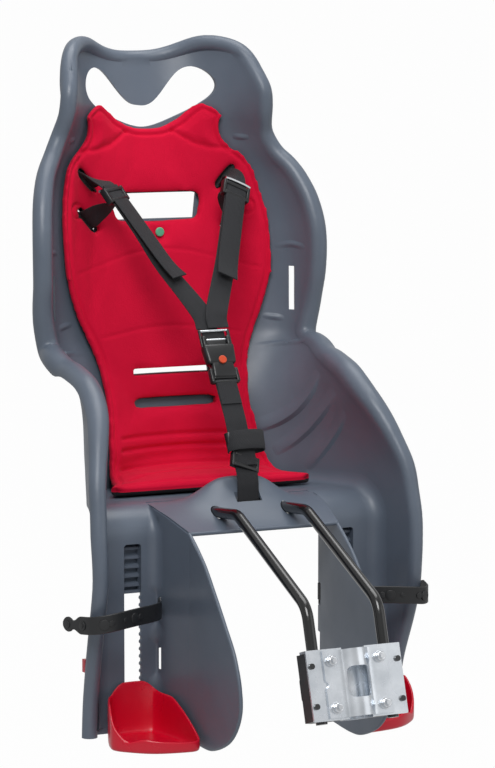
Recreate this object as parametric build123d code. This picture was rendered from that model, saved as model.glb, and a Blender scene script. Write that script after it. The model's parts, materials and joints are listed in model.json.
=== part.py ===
from build123d import *
import math
import os

# Child seat for the rear of a bicycle, hung from a bracket on the seat tube.
# Millimetres. +Z up, -Y is the way the child faces, X = 0 is the plane of symmetry.
# The origin is the middle of the seat-tube clamp.

os.makedirs("parts", exist_ok=True)

# Driving dimensions
WALL = 4.0                # shell wall
TUBE_R = 15.9             # seat tube, 31.8 mm
LEAN = 17.0               # lean of the seat tube, degrees
ROD_R = 6.0               # carrier rods
ROD_X = 41.0              # half the spacing of the rods
PAN_Z = 152.0             # top of the seat pan
PANEL_Y = 266.0           # front face of the leg panels
PAN_FRONT_R = 34.0        # roll at the front of the pan
INNER_X = 86.0            # channel side of the inner leg walls, less the wall
FOOT_Z = -92.0            # lower end of the leg channels
DECK_FRONT_Y = 207.0      # front edge of the deck between the legs
FLARE = 10.0              # how far the inner walls lean out from the deck's front edge to the panel
DECK_LAP = 0.8            # how far the deck's sides reach past the middle of the inner walls
WING_SLOT_TURN = 17.0     # how far the wing slots point outward, in degrees
PAD_T = 12.0              # thickness of the pad
PAD_GAP = 1.8             # pad to shell
WEB_W = 25.0              # webbing width
WEB_T = 1.6               # webbing thickness
RUN_FIT = 0.08            # radial clearance of sliding rods
CLEAR = 0.4               # clearance between parts that slide past each other


def back_y(z):
    """Front surface of the back rest on the centre line."""
    h = z - 165.0
    return 437.0 + 0.185 * h + 0.0001 * h * h


# Ribs of the moulded shell, from above the handle down to the foot.
# Each: start height on the centre line, control x, rim (x, y, z), radius of the rolled edge.
RIBS = [
    (664.0, 60.0, (92.0, 505.0, 664.0), 9.5),
    (640.0, 64.0, (95.5, 487.0, 640.0), 9.5),
    (614.0, 68.0, (104.5, 465.0, 614.0), 9.5),
    (588.0, 72.0, (111.0, 450.0, 588.0), 9.5),
    (562.0, 76.0, (113.5, 452.0, 562.0), 9.5),
    (541.0, 84.0, (119.0, 461.0, 538.0), 9.5),
    (520.0, 104.0, (130.0, 456.0, 514.0), 10.0),
    (494.0, 125.0, (143.0, 441.0, 494.0), 10.5),
    (464.0, 138.0, (152.0, 426.0, 468.0), 11.0),
    (434.0, 141.0, (157.0, 415.0, 438.0), 11.0),
    (404.0, 141.0, (158.0, 412.0, 408.0), 11.0),
    (374.0, 140.0, (157.0, 414.0, 378.0), 11.0),
    (344.0, 138.0, (154.0, 421.0, 346.0), 11.5),
    (313.0, 138.0, (147.0, 421.0, 313.0), 12.5),
    (288.0, 142.0, (148.5, 391.0, 301.5), 14.0),
    (264.0, 147.0, (145.0, 360.0, 290.0), 14.0),
    (242.0, 151.0, (145.0, 318.0, 276.0), 14.0),
    (223.0, 154.0, (150.0, 284.0, 254.0), 13.0),
    (207.0, 154.0, (160.0, 258.0, 229.0), 11.5),
    (193.0, 152.0, (169.0, 241.0, 205.0), 10.0),
    (177.0, 150.0, (175.5, 228.0, 181.0), 9.5),
    (155.0, 150.0, (178.0, 221.0, 156.0), 9.0),
    (130.0, 150.0, (179.5, 216.0, 130.0), 9.0),
    (105.0, 150.0, (180.0, 213.5, 105.0), 8.5),
    (80.0, 150.0, (179.5, 214.0, 80.0), 8.5),
    (54.0, 150.0, (180.0, 218.0, 54.0), 8.5),
    (27.0, 150.0, (179.5, 226.0, 27.0), 8.5),
    (0.0, 150.0, (178.0, 236.0, 0.0), 8.5),
    (-28.0, 150.0, (176.0, 246.0, -28.0), 8.5),
    (-56.0, 150.0, (175.0, 253.0, -56.0), 8.5),
    (FOOT_Z, 150.0, (174.5, 257.0, FOOT_Z), 8.5),
]
WAIST = 13                # station of the waist
ROLL_TURN = 185.0         # how far the rim is rolled over, degrees


def smooth(values, s):
    """Value at station s of a curve that passes through all stations."""
    n = len(values)
    i = min(max(int(math.floor(s)), 0), n - 2)
    f = s - i
    p1 = values[i]
    p2 = values[i + 1]
    p0 = values[i - 1] if i > 0 else 2 * p1 - p2
    p3 = values[i + 2] if i + 2 < n else 2 * p2 - p1
    a = 2 * p1
    b = p2 - p0
    c = 2 * p0 - 5 * p1 + 4 * p2 - p3
    d = 3 * p1 - p0 - 3 * p2 + p3
    return 0.5 * (a + b * f + c * f * f + d * f * f * f)


COLS = {
    "sz": [r[0] for r in RIBS],
    "kx": [r[1] for r in RIBS],
    "rx": [r[2][0] for r in RIBS],
    "ry": [r[2][1] for r in RIBS],
    "rz": [r[2][2] for r in RIBS],
    "rr": [r[3] for r in RIBS],
}
LAST = len(RIBS) - 1


def start_y(s):
    """The ribs of the legs start on a vertical plane, those above on the back rest."""
    z = smooth(COLS["sz"], s)
    return back_y(max(z, 150.0))


def rib(s, t):
    """Point of the shell's front surface on rib s, t = 0 at the middle, 1 at the rim."""
    z0 = smooth(COLS["sz"], s)
    y0 = start_y(s)
    x2 = smooth(COLS["rx"], s)
    y2 = smooth(COLS["ry"], s)
    z2 = smooth(COLS["rz"], s)
    a = (1 - t) * (1 - t)
    b = 2 * t * (1 - t)
    c = t * t
    z1 = 0.85 * z0 + 0.15 * z2
    return Vector(b * smooth(COLS["kx"], s) + c * x2, (a + b) * y0 + c * y2, a * z0 + b * z1 + c * z2)


def roll(s, turn):
    """Point of the rolled rim of rib s, turned by that many degrees from the rim."""
    end = rib(s, 1.0)
    along = (end - rib(s, 0.97)).normalized()
    path = (rib(min(s + 0.05, LAST), 1.0) - rib(max(s - 0.05, 0.0), 1.0)).normalized()
    out = path.cross(along).normalized()
    if out.X < 0:
        out = out * -1
    side = out.cross(path).normalized()
    if side.dot(along) < 0:
        side = side * -1
    r = smooth(COLS["rr"], s)
    a = math.radians(turn)
    return end + out * (r - r * math.cos(a)) + side * (r * math.sin(a))


def lofted(points):
    """Smooth face through the rows of a grid of points."""
    n = len(points[0])
    share = [0.0] * n
    for row in points:
        run = [0.0]
        for a, b in zip(row, row[1:]):
            run.append(run[-1] + (b - a).length)
        for k in range(n):
            share[k] += run[k] / run[-1] / len(points)
    wires = [Wire([Edge.make_spline(row, parameters=share)]) for row in points]
    return Shell.make_loft(wires).faces()[0]


def even_rows(grid, step):
    """The same surface with rows spaced evenly, about that far apart along its middle column."""
    mid = len(grid[0]) // 2
    at = [0.0]
    for a, b in zip(grid, grid[1:]):
        at.append(at[-1] + (b[mid] - a[mid]).length)
    count = max(4, round(at[-1] / step))
    last = len(grid) - 1
    out = []
    for k in range(count + 1):
        v = at[-1] * k / count
        i = 0
        while i < last - 1 and at[i + 1] < v:
            i += 1
        span = at[i + 1] - at[i]
        f = (v - at[i]) / span
        row = []
        for j in range(len(grid[0])):
            p = grid[i][j]
            q = grid[i + 1][j]
            mp = (grid[i + 1][j] - grid[max(i - 1, 0)][j]) * (span / (at[i + 1] - at[max(i - 1, 0)]))
            mq = (grid[min(i + 2, last)][j] - grid[i][j]) * (span / (at[min(i + 2, last)] - at[i]))
            row.append(p * (2 * f**3 - 3 * f**2 + 1) + mp * (f**3 - 2 * f**2 + f)
                       + q * (3 * f**2 - 2 * f**3) + mq * (f**3 - f**2))
        out.append(row)
    return out


def across(points, i, j):
    """Unit normal of a grid of points."""
    rows = len(points)
    cols = len(points[0])
    du = points[min(i + 1, rows - 1)][j] - points[max(i - 1, 0)][j]
    dv = points[i][min(j + 1, cols - 1)] - points[i][max(j - 1, 0)]
    return du.cross(dv).normalized()


def sheet(points, other):
    """Solid between two grids of points."""
    near = lofted(points)
    far = lofted(other)
    sides = []
    for edge in near.edges():
        mate = min(far.edges(), key=lambda e: (e.position_at(0.5) - edge.position_at(0.5)).length)
        sides.append(Face.make_surface_from_curves(edge, mate))
    return Solid(Shell([near, far] + sides))


def mirrored(shape):
    return mirror(shape, about=Plane.YZ)


def both(shape):
    return [shape, mirrored(shape)]


def prism_x(points, x0, x1):
    """Solid of a closed outline of (y, z) points between two values of x."""
    edges = [Edge.make_line((x0, *a), (x0, *b)) for a, b in zip(points, points[1:] + points[:1])]
    return Solid.extrude(Face(Wire(edges)), Vector(x1 - x0, 0, 0))


def prism_y(points, y0, y1):
    """Solid of a closed outline of (x, z) points between two values of y."""
    edges = [Edge.make_line((a[0], y0, a[1]), (b[0], y0, b[1])) for a, b in zip(points, points[1:] + points[:1])]
    return Solid.extrude(Face(Wire(edges)), Vector(0, y1 - y0, 0))


def box(x0, x1, y0, y1, z0, z1):
    return Pos((x0 + x1) / 2, (y0 + y1) / 2, (z0 + z1) / 2) * Box(abs(x1 - x0), abs(y1 - y0), abs(z1 - z0))


def rod(a, b, r):
    a = Vector(a)
    b = Vector(b)
    return Solid.make_cylinder(r, (b - a).length, Plane(origin=a, z_dir=b - a))


def wall_x(y, z):
    """x of the shell wall's front surface at that y and z."""
    low = float(WAIST)
    high = float(LAST)
    for _ in range(40):
        s = 0.5 * (low + high)
        y0 = start_y(s)
        t = math.sqrt(max(0.0, min(1.0, (y0 - y) / (y0 - smooth(COLS["ry"], s)))))
        if rib(s, t).Z > z:
            low = s
        else:
            high = s
    return rib(s, t).X


def back_at(x, z):
    """y of the shell's front surface at that x and z of the back rest."""
    low = 0.0
    high = 24.0
    for _ in range(30):
        s = 0.5 * (low + high)
        a = 0.0
        b = 1.0
        for _ in range(22):
            t = 0.5 * (a + b)
            if rib(s, t).X < abs(x):
                a = t
            else:
                b = t
        if rib(s, t).Z > z:
            low = s
        else:
            high = s
    return rib(s, t).Y


# Seat shell: one moulding
def bucket():
    """Back rest, shoulder wings, hips and outer leg walls with their rolled rim."""
    spread = [0.0, 0.06, 0.14, 0.24, 0.36, 0.48, 0.6, 0.71, 0.81, 0.9, 0.96, 1.0]
    turns = [ROLL_TURN * k / 8 for k in range(1, 10)]
    wide = []
    for k in range(0, 2 * LAST + 1):
        line = [rib(0.5 * k, t) for t in spread] + [roll(0.5 * k, turn) for turn in turns]
        wide.append([Vector(-p.X, p.Y, p.Z) for p in reversed(line[1:])] + line)
    inside = range(1, len(wide[0]) - 1)
    near = [[row[j] for j in inside] for row in wide]
    far = [[wide[i][j] - across(wide, i, j) * WALL for j in inside] for i in range(len(wide))]
    return sheet(near, far)


PAN_FRONT_Y = PANEL_Y + PAN_FRONT_R


def outside():
    """All that lies outside the middle of the shell's wall, from the waist to the foot."""
    spread = [k / 14 for k in range(0, 15)]
    wide = []
    for k in range(2 * WAIST + 4, 2 * LAST + 1):
        line = [rib(0.5 * k, t) for t in spread]
        wide.append([Vector(-p.X, p.Y, p.Z) for p in reversed(line[1:])] + line)
    near = []
    far = []
    for i in range(len(wide)):
        normals = [across(wide, i, j) for j in range(len(wide[0]))]
        near.append([p - n * (WALL / 2) for p, n in zip(wide[i], normals)])
        far.append([p - n * 90.0 for p, n in zip(wide[i], normals)])
    return sheet(near, far)


def pan_profile(inner, y_rear):
    """(y, z) outline of the pan, the roll at its front and the leg panel, cut off at a rear y."""
    line = [(y_rear, PAN_Z), (PAN_FRONT_Y, PAN_Z)]
    bend_z = PAN_Z - PAN_FRONT_R
    for k in range(1, 13):
        a = math.radians(90 * k / 12)
        line.append((PAN_FRONT_Y - PAN_FRONT_R * math.sin(a), bend_z + PAN_FRONT_R * math.cos(a)))
    line.append((PANEL_Y, FOOT_Z + 1))
    line.append((PANEL_Y + WALL, FOOT_Z + 1))
    for k in range(12, 0, -1):
        a = math.radians(90 * k / 12)
        line.append((PAN_FRONT_Y - inner * math.sin(a), bend_z + inner * math.cos(a)))
    line += [(PAN_FRONT_Y, PAN_Z - WALL), (y_rear, PAN_Z - WALL)]
    return line


def pan_and_panels():
    """Seat pan, its front roll and the panels behind the legs."""
    solid = prism_x(pan_profile(PAN_FRONT_R - WALL, 470.0), -230.0, 230.0) - outside()
    keep = INNER_X + WALL / 2 + FLARE
    solid = solid - box(-keep, keep, 0, PAN_FRONT_Y, -300, 400)
    return solid.solids().sort_by(SortBy.VOLUME)[-1]


LOBE = [(209.0, 130.5), (173.0, 104.0), (146.0, 75.5), (119.5, 45.0), (95.5, 14.5), (82.0, -25.0),
        (88.0, -52.0), (110.0, -75.0), (146.0, -90.0), (174.0, -92.5), (215.0, -89.0)]


def inner_wall():
    """Guard between the leg and the wheel, with its rounded front lobe."""
    x = INNER_X - 20
    front = Edge.make_spline([(x, *p) for p in LOBE])
    rear = PANEL_Y + WALL / 2
    bend_z = PAN_Z - PAN_FRONT_R
    low = [(x, *LOBE[-1]), (x, rear, FOOT_Z), (x, rear, bend_z)]
    lines = [Edge.make_line(a, b) for a, b in zip(low, low[1:])]
    arc = Edge.make_three_point_arc(
        (x, rear, bend_z),
        (x, PAN_FRONT_Y - 32.0 * math.sin(math.pi / 4), bend_z + 32.0 * math.cos(math.pi / 4)),
        (x, PAN_FRONT_Y, bend_z + 32.0))
    top = [(x, PAN_FRONT_Y, bend_z + 32.0), (x, PAN_FRONT_Y, bend_z + 32.6), (x, 290.0, 149.6), (x, 279.0, 148.7),
           (x, 268.0, 147.2), (x, 246.0, 141.7), (x, 220.0, 133.7), (x, *LOBE[0])]
    tops = [Edge.make_line(a, b) for a, b in zip(top, top[1:])]
    side = Solid.extrude(Face(Wire([front] + lines + [arc] + tops)), Vector(60, 0, 0))
    a = INNER_X
    b = INNER_X + WALL
    plan = [(a, 40.0), (b, 40.0), (b, DECK_FRONT_Y), (b + FLARE, rear + 0.5), (b + FLARE, 330.0), (a + FLARE, 330.0),
            (a + FLARE, rear + 0.5), (a, DECK_FRONT_Y)]
    edges = [Edge.make_line((*p, -200), (*q, -200)) for p, q in zip(plan, plan[1:] + plan[:1])]
    return (side & Solid.extrude(Face(Wire(edges)), Vector(0, 0, 500))).solids()[0]


# Deck between the legs: y, height at the sides, rise of the pommel in the middle
DECK = [(302.0, 151.2, 0.0), (290.0, 151.5, 12.0), (279.0, 151.0, 25.0), (268.0, 149.5, 29.0), (257.0, 147.0, 23.0),
        (246.0, 144.0, 14.0), (233.0, 140.0, 6.0), (220.0, 136.0, 1.5), (DECK_FRONT_Y, 132.0, 0.0)]


def deck_z(x, y):
    k = 0
    while k < len(DECK) - 2 and DECK[k + 1][0] > y:
        k += 1
    s = k + (DECK[k][0] - y) / (DECK[k][0] - DECK[k + 1][0])
    bell = 1 / (1 + (abs(x) / 48.0) ** 4)
    edge = 1 / (1 + (88.0 / 48.0) ** 4)
    return smooth([d[1] for d in DECK], s) + smooth([d[2] for d in DECK], s) * (bell - edge) / (1 - edge)


def deck():
    near = []
    far = []
    for k in range(0, 20):
        y = DECK[0][0] + (DECK_FRONT_Y - DECK[0][0]) * k / 19
        lean = min(1.0, (y - DECK_FRONT_Y) / (PANEL_Y - DECK_FRONT_Y))
        half = INNER_X + WALL / 2 + DECK_LAP + FLARE * lean
        xs = [half * (1 - j / 8) for j in range(0, 17)]
        near.append([Vector(x, y, deck_z(x, y)) for x in xs])
        far.append([Vector(x, y, deck_z(x, y) - WALL * 1.15) for x in xs])
    return sheet(near, far)


# Carrier bow
TILT = math.radians(LEAN)


def from_bracket(x, y, z):
    """Point of the bracket's own frame (y back from the tube's axis, z along it) in the row frame."""
    return Vector(x, y * math.cos(TILT) + z * math.sin(TILT), -y * math.sin(TILT) + z * math.cos(TILT))


ROD_BACK = 1.3            # rods behind the tube's axis, in the bracket's frame
ROD_TIP = -38.5
ROD_BEND = 82.0
ROD_FRONT = (188.0, 150.0)
ROD_RUN_Z = PAN_Z - WALL - ROD_R - 0.3
ROD_REAR_Y = 372.0
BOW = [from_bracket(ROD_X, ROD_BACK, ROD_TIP), from_bracket(ROD_X, ROD_BACK, ROD_BEND),
       Vector(ROD_X, *ROD_FRONT), Vector(ROD_X, 288.0, ROD_RUN_Z), Vector(ROD_X, ROD_REAR_Y, ROD_RUN_Z)]


def carrier_bow():
    line = BOW + [Vector(-p.X, p.Y, p.Z) for p in reversed(BOW)]
    path = FilletPolyline(*line, radius=30.0)
    return sweep(Plane(origin=line[0], z_dir=line[1] - line[0]) * Circle(ROD_R), path=path)


BOSS_X = (26.0, 58.0)
BOSS_Y = 330.0
BOSS_R = 7.0
PLATE_Z = ROD_RUN_Z - ROD_R - 0.2
SCREW_R = 2.95
HOLE_R = 3.0

# Upper edge of the head, (x, y, z) of the middle of its bead, from the middle to the side
HEAD = [(0.0, 551.0, 624.0), (22.0, 548.0, 625.0), (46.0, 540.0, 631.0), (72.0, 521.0, 641.0), (92.0, 501.0, 639.5),
        (105.5, 483.0, 631.0), (114.0, 470.0, 614.0), (119.5, 456.0, 588.0)]
BEAD_R = 9.0


def head_bead():
    """Rounded bead along the top of the handle."""
    line = [Vector(-x, y, z) for x, y, z in reversed(HEAD[1:])] + [Vector(*p) for p in HEAD]
    path = Edge.make_spline(line)
    return sweep(Plane(origin=line[0], z_dir=path.tangent_at(0)) * Circle(BEAD_R), path=path)


def head_cut():
    """What lies above the upper edge of the head."""
    line = [(-x, 380.0, z) for x, y, z in reversed(HEAD[1:-1])] + [(x, 380.0, z) for x, y, z in HEAD[:-1]]
    x = line[-1][0] + 40
    z = line[-1][2]
    rest = [line[-1], (x, 380.0, z), (x, 380.0, 720.0), (-x, 380.0, 720.0), (-x, 380.0, z), line[0]]
    edges = [Edge.make_spline(line)] + [Edge.make_line(a, b) for a, b in zip(rest, rest[1:])]
    return Solid.extrude(Face(Wire(edges)), Vector(0, 320.0, 0))


# Handle opening, (x, z) of the right half from the tongue's tip to the lower middle
OPENING = [(0.0, 571.0), (12.0, 573.5), (22.0, 581.5), (34.0, 596.0), (43.0, 606.5), (51.5, 613.0), (61.0, 615.0),
           (71.0, 611.5), (78.5, 603.5), (81.0, 593.5), (77.5, 584.0), (69.0, 575.5), (55.5, 566.5), (38.0, 558.0),
           (19.0, 550.5), (0.0, 547.0)]


def handle_cut():
    right = OPENING
    left = [(-x, z) for x, z in reversed(OPENING[1:-1])]
    pts = [(x, 380.0, z) for x, z in right + left]
    loop = Edge.make_spline(pts, periodic=True)
    return Solid.extrude(Face(Wire([loop])), Vector(0, 320.0, 0))


SLOT_X = 128.3            # footrest slot
SLOT_W = 20.0
SLOT_TOP = 113.0
RACK_Z = 62.0             # lower end of the closed rack behind the slot
SLIT_X = 96.5             # foot strap slits
SLITS_Z = (42.0, -13.0)
SLIT_H = 26.0
SLIT_W = 5.5
SHOULDER_SLITS = ((86.0, 490.0), (90.0, 446.0))
SLIT_TURN = 42.0          # slant of the shoulder slits, degrees
POMMEL_SLIT_Y = 247.0
RIVET_Z = 430.0


RIVET_R = 3.0


def shoulder_slits(side):
    """Cutters of the two slanted harness slits on one side."""
    slit = Box(8.0, 160.0, 36.0)
    return [Pos(side * x, 470, z) * Rot(0, side * SLIT_TURN, 0) * slit for x, z in SHOULDER_SLITS]


def back_slots():
    """Cutters of the vents in the middle of the back."""
    top = prism_y([(-50, 444), (50, 444), (56, 473), (-56, 473)], 400, 560)
    return [top, box(-50, 50, 380, 520, 272, 280), box(-50, 50, 380, 520, 237, 245)]


def rack():
    """Closed toothed pocket behind the upper end of a footrest slot."""
    x0 = SLOT_X - SLOT_W / 2
    x1 = SLOT_X + SLOT_W / 2
    y0 = PANEL_Y + WALL
    case = box(x0 - 3, x1 + 3, y0 - 2, y0 + 12, RACK_Z - 3, SLOT_TOP + 3)
    case = case - box(x0, x1, 0, y0 + 9, RACK_Z, SLOT_TOP)
    for k in range(0, 5):
        z = RACK_Z + 5 + k * 10
        tooth = [(y0 + 9.5, z + 4), (y0 + 3, z + 2), (y0 + 3, z - 1), (y0 + 9.5, z - 1)]
        case = case + prism_x(tooth, x0 - 1, x1 + 1)
    return case


def under_cut():
    """The ribs below the pan and behind the leg panels only carry the surface: this takes them away."""
    under = [(600.0, PAN_Z - WALL / 2), (PAN_FRONT_Y, PAN_Z - WALL / 2)]
    r = PAN_FRONT_R - WALL / 2
    for k in range(1, 9):
        a = math.radians(90 * k / 8)
        under.append((PAN_FRONT_Y - r * math.sin(a), PAN_Z - PAN_FRONT_R + r * math.cos(a)))
    under += [(PANEL_Y + WALL / 2, -300.0), (600.0, -300.0)]
    return prism_x(under, -300.0, 300.0)


def seat_shell():
    shell = bucket() - under_cut() - head_cut() - box(-300, 300, 0, 600, -200, FOOT_Z + 1)
    shell = shell.fuse(head_bead(), pan_and_panels(), *both(inner_wall()))
    shell = shell.fuse(deck())
    shell = shell.fuse(*both(rack()))
    for x in BOSS_X:
        post = rod((x, BOSS_Y, PLATE_Z), (x, BOSS_Y, PAN_Z - 1), BOSS_R)
        shell = shell.fuse(*both(post))
    cuts = [handle_cut()]
    for sx in (-1, 1):
        for x in BOSS_X:
            cuts.append(rod((sx * x, BOSS_Y, PLATE_Z - 5), (sx * x, BOSS_Y, PAN_Z - 3), HOLE_R))
        cuts.append(rod((sx * ROD_X, 180, ROD_FRONT[1] + 0.0856 * 8), (sx * ROD_X, 288, ROD_RUN_Z), ROD_R + 0.6))
        cuts.append(rod((sx * ROD_X, 284, ROD_RUN_Z), (sx * ROD_X, 312, ROD_RUN_Z), ROD_R + 0.3))
        slot = (sx * (SLOT_X - SLOT_W / 2), sx * (SLOT_X + SLOT_W / 2))
        cuts.append(fillet(box(*slot, 200, PANEL_Y + WALL + 1, -120, SLOT_TOP).edges().filter_by(Axis.Y), 3.5))
        slit = (sx * (SLIT_X - SLIT_W / 2), sx * (SLIT_X + SLIT_W / 2))
        for z in SLITS_Z:
            cut = box(*slit, 259, 290, z - SLIT_H / 2, z + SLIT_H / 2)
            cuts.append(fillet(cut.edges().filter_by(Axis.Y), 2.7))
        cuts += shoulder_slits(sx)
        cuts.append(Pos(sx * 145, 430, 364) * Rot(0, 0, -sx * WING_SLOT_TURN) * Box(6, 120, 50))
    cuts.append(rod((0, 400, RIVET_Z), (0, 560, RIVET_Z), RIVET_R + RUN_FIT))
    cuts += back_slots()[:2]
    cuts.append(box(-15, 15, POMMEL_SLIT_Y - 4.5, POMMEL_SLIT_Y + 4.5, 120, 200))
    for cut in cuts:
        shell = shell - cut
    return shell


# Pad: rows on the back as (height, half width), from the neck down
PAD_BACK = [(509.0, 110.0), (478.0, 121.0), (450.0, 126.0), (427.0, 128.0), (383.0, 126.0), (340.0, 114.0),
            (300.0, 97.0), (270.0, 90.0), (230.0, 89.0), (200.0, 93.0)]
PAD_TOP = [(0.0, 545.0), (0.25, 547.0), (0.5, 557.0), (0.68, 569.0), (0.79, 574.0), (0.9, 571.0), (1.0, 565.0)]
PAD_NECK = [79.0, 81.0, 90.0]       # half widths of the rows from the upper edge to the neck
PAD_PAN = [(385.0, 107.0), (362.0, 115.0), (344.0, 123.0), (331.0, 127.0)]
PAD_BEND_R = 32.0


def ear(u):
    """Height of the pad's upper edge at a share u of its half width."""
    u = abs(u)
    k = 0
    while k < len(PAD_TOP) - 2 and PAD_TOP[k + 1][0] < u:
        k += 1
    f = (u - PAD_TOP[k][0]) / (PAD_TOP[k + 1][0] - PAD_TOP[k][0])
    return smooth([p[1] for p in PAD_TOP], k + f)


def pad_rows():
    """Rear and front grids of the pad."""
    us = [k / 10 for k in range(-10, 11)]
    rear = []
    front = []

    def back_row(points):
        ys = [back_at(x, z) - PAD_GAP for x, z in points]
        rear.append([Vector(x, y, z) for (x, z), y in zip(points, ys)])
        front.append([Vector(x, y - PAD_T, z + 1.5) for (x, z), y in zip(points, ys)])

    for k, w in enumerate(PAD_NECK):
        fade = 1 - k / len(PAD_NECK)
        z = PAD_BACK[0][0] + fade * (PAD_TOP[0][1] - PAD_BACK[0][0])
        back_row([(u * w, z + fade * (ear(u) - PAD_TOP[0][1])) for u in us])
    for z, w in PAD_BACK:
        back_row([(u * w, z) for u in us])
    low_z = PAN_Z + PAD_GAP + PAD_BEND_R
    cy = back_y(low_z) - PAD_GAP - PAD_BEND_R
    for k in range(0, 5):
        a = math.radians(90 * k / 4)
        w = 95.0 + 2.8 * k
        line_r = []
        line_f = []
        for u in us:
            dip = (back_y(low_z) - back_at(u * w, low_z)) * 1.06
            for line, r in ((line_r, PAD_BEND_R), (line_f, PAD_BEND_R - PAD_T)):
                line.append(Vector(u * w, cy + r * math.cos(a) - dip, low_z - r * math.sin(a)))
        rear.append(line_r)
        front.append(line_f)
    for y, w in PAD_PAN:
        fade = 0.8 * (y - PAD_PAN[-1][0]) / (PAD_PAN[0][0] - PAD_PAN[-1][0])
        dips = [(back_y(low_z) - back_at(u * 93.0, low_z)) * fade for u in us]
        z = PAN_Z + PAD_GAP
        rear.append([Vector(u * w, y - d, z) for u, d in zip(us, dips)])
        front.append([Vector(u * w, y - d, z + PAD_T) for u, d in zip(us, dips)])
    return rear, front


def seat_pad():
    rear, front = pad_rows()
    pad = sheet(even_rows(front, 12.0), even_rows(rear, 12.0))
    for cut in back_slots() + shoulder_slits(1) + shoulder_slits(-1):
        pad = pad - cut
    return pad - rod((0, 400, RIVET_Z), (0, 560, RIVET_Z), RIVET_R + RUN_FIT)


def pad_rivet():
    """Push rivet that holds the pad to the back."""
    y = back_y(RIVET_Z) - PAD_GAP - PAD_T
    rear = back_y(RIVET_Z) + WALL + 1.9
    head = rod((0, y - 4.2, RIVET_Z), (0, y - 1.8, RIVET_Z), 5.2)
    head = fillet(head.edges().group_by(Axis.Y)[0], 1.2)
    stem = rod((0, y - 3, RIVET_Z), (0, rear + 2.5, RIVET_Z), RIVET_R)
    barb = rod((0, rear, RIVET_Z), (0, rear + 2.5, RIVET_Z), 5.2)
    return head + stem + barb


# Harness
def ribbon(path, sides, width=WEB_W, thick=WEB_T, step=7.0):
    """Flat webbing along a path, with the direction of its width at each point."""
    units = [Vector(*w).normalized() for w in sides]
    rails = even_rows([[p - w, p, p + w] for p, w in zip(path, units)], step)
    near = []
    far = []
    for i in range(len(rails)):
        run = (rails[min(i + 1, len(rails) - 1)][1] - rails[max(i - 1, 0)][1]).normalized()
        side = rails[i][2] - rails[i][0]
        side = (side - run * side.dot(run)).normalized()
        n = run.cross(side)
        rows = [rails[i][1] + side * (width * k / 4) for k in (-2, -1, 0, 1, 2)]
        near.append([p + n * (thick / 2) for p in rows])
        far.append([p - n * (thick / 2) for p in rows])
    return sheet(near, far)


def strap_slide(at, run, side, half=17.0, tall=24.0, deep=7.0):
    """Moulded slide that webbing runs through, closed round it."""
    run = run.normalized()
    side = (side - run * side.dot(run)).normalized()
    body = Box(2 * half, deep, tall)
    body = fillet(body.edges().filter_by(Axis.Y), 3.0)
    body = body - Box(WEB_W + 1.2, WEB_T + 1.2, tall + 2)
    return Plane(origin=at, x_dir=side, z_dir=run) * body


def slit_way(side):
    t = math.radians(SLIT_TURN)
    return Vector(side * math.sin(t), 0, math.cos(t))


def anchor_y(x, z):
    """Front of the bar behind a shoulder slit, just clear of the shell's back."""
    t = math.radians(SLIT_TURN)
    ys = []
    for d in (-22.0, -11.0, 0.0, 11.0, 22.0):
        for e in (-3.0, 3.0):
            px = x + d * math.sin(t) + e * math.cos(t)
            pz = z + d * math.cos(t) - e * math.sin(t)
            y = back_at(px, pz)
            slope_x = back_at(px + 1, pz) - y
            slope_z = back_at(px, pz + 1) - y
            ys.append(y + WALL * math.sqrt(1 + slope_x * slope_x + slope_z * slope_z))
    return max(ys) + CLEAR


BUCKLE = Plane(origin=(0, 318.0, 302.0), x_dir=(1, 0, 0), z_dir=(0, 0.51, 0.86))


def in_buckle(x, y, z):
    """Point of the buckle's frame, -y to the front and z up along the strap."""
    return BUCKLE.from_local_coords(Vector(x, y, z))


ADJUSTER = (70.0, 428.0, 470.0)     # middle of the strap's adjuster
CHEST = (38.0, 384.0, 400.0)        # where the strap leaves its straight run
ADJUSTER_H = 18.0
ADJUSTER_T = 9.0


def strap_run(side):
    """Middle of the adjuster, direction of the webbing there, its width and the way to the back rest."""
    a = Vector(side * ADJUSTER[0], *ADJUSTER[1:])
    run = (Vector(side * CHEST[0], *CHEST[1:]) - a).normalized()
    wide = Vector(side * 0.92, 0, -0.35)
    wide = (wide - run * wide.dot(run)).normalized()
    to_back = run.cross(wide)
    if to_back.Y < 0:
        to_back = to_back * -1
    return a, run, wide, to_back


def shoulder_path(side):
    x, z = SHOULDER_SLITS[0]
    y = back_at(x, z)
    a, run, turned, _ = strap_run(side)
    half = ADJUSTER_H / 2
    path = [Vector(side * x, anchor_y(x, z) - 0.5, z), Vector(side * x, y + 4, z), Vector(side * x, y - 10, z),
            Vector(side * (x - 1.5), y - 26, z), Vector(side * (x - 4.5), y - 42, z - 1.0)]
    wide = slit_way(side)
    sides = [wide, wide, wide, wide * 0.7 + turned * 0.3, wide * 0.3 + turned * 0.7]
    for d in (-2.0 * half, -1.1 * half, 0.0, 1.1 * half, 2.2 * half):
        path.append(a + run * d)
        sides.append(turned)
    path.append(Vector(side * CHEST[0], *CHEST[1:]))
    sides.append(turned)
    layer = -1.4 * side
    for dx, dz in ((9.0, 56.0), (6.5, 46.0), (6.5, 40.0), (6.5, 36.2)):
        path.append(in_buckle(side * dx, layer, dz))
        sides.append(Vector(side, 0, 0))
    return path, sides


def loop_path(side):
    """The webbing that runs back from the adjuster into the lower slit."""
    x, z = SHOULDER_SLITS[1]
    y = back_at(x, z)
    a, run, turned, to_back = strap_run(side)
    start = a + to_back * (ADJUSTER_T / 2 + 0.6)
    path = [start, start + to_back * 8.0, Vector(side * (x - 3), y - 22, z + 5), Vector(side * x, y - 10, z),
            Vector(side * x, y - 2, z), Vector(side * x, anchor_y(x, z) - 0.5, z)]
    wide = slit_way(side)
    return path, [turned, turned, wide * 0.7 + turned * 0.3, wide, wide, wide]


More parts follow.
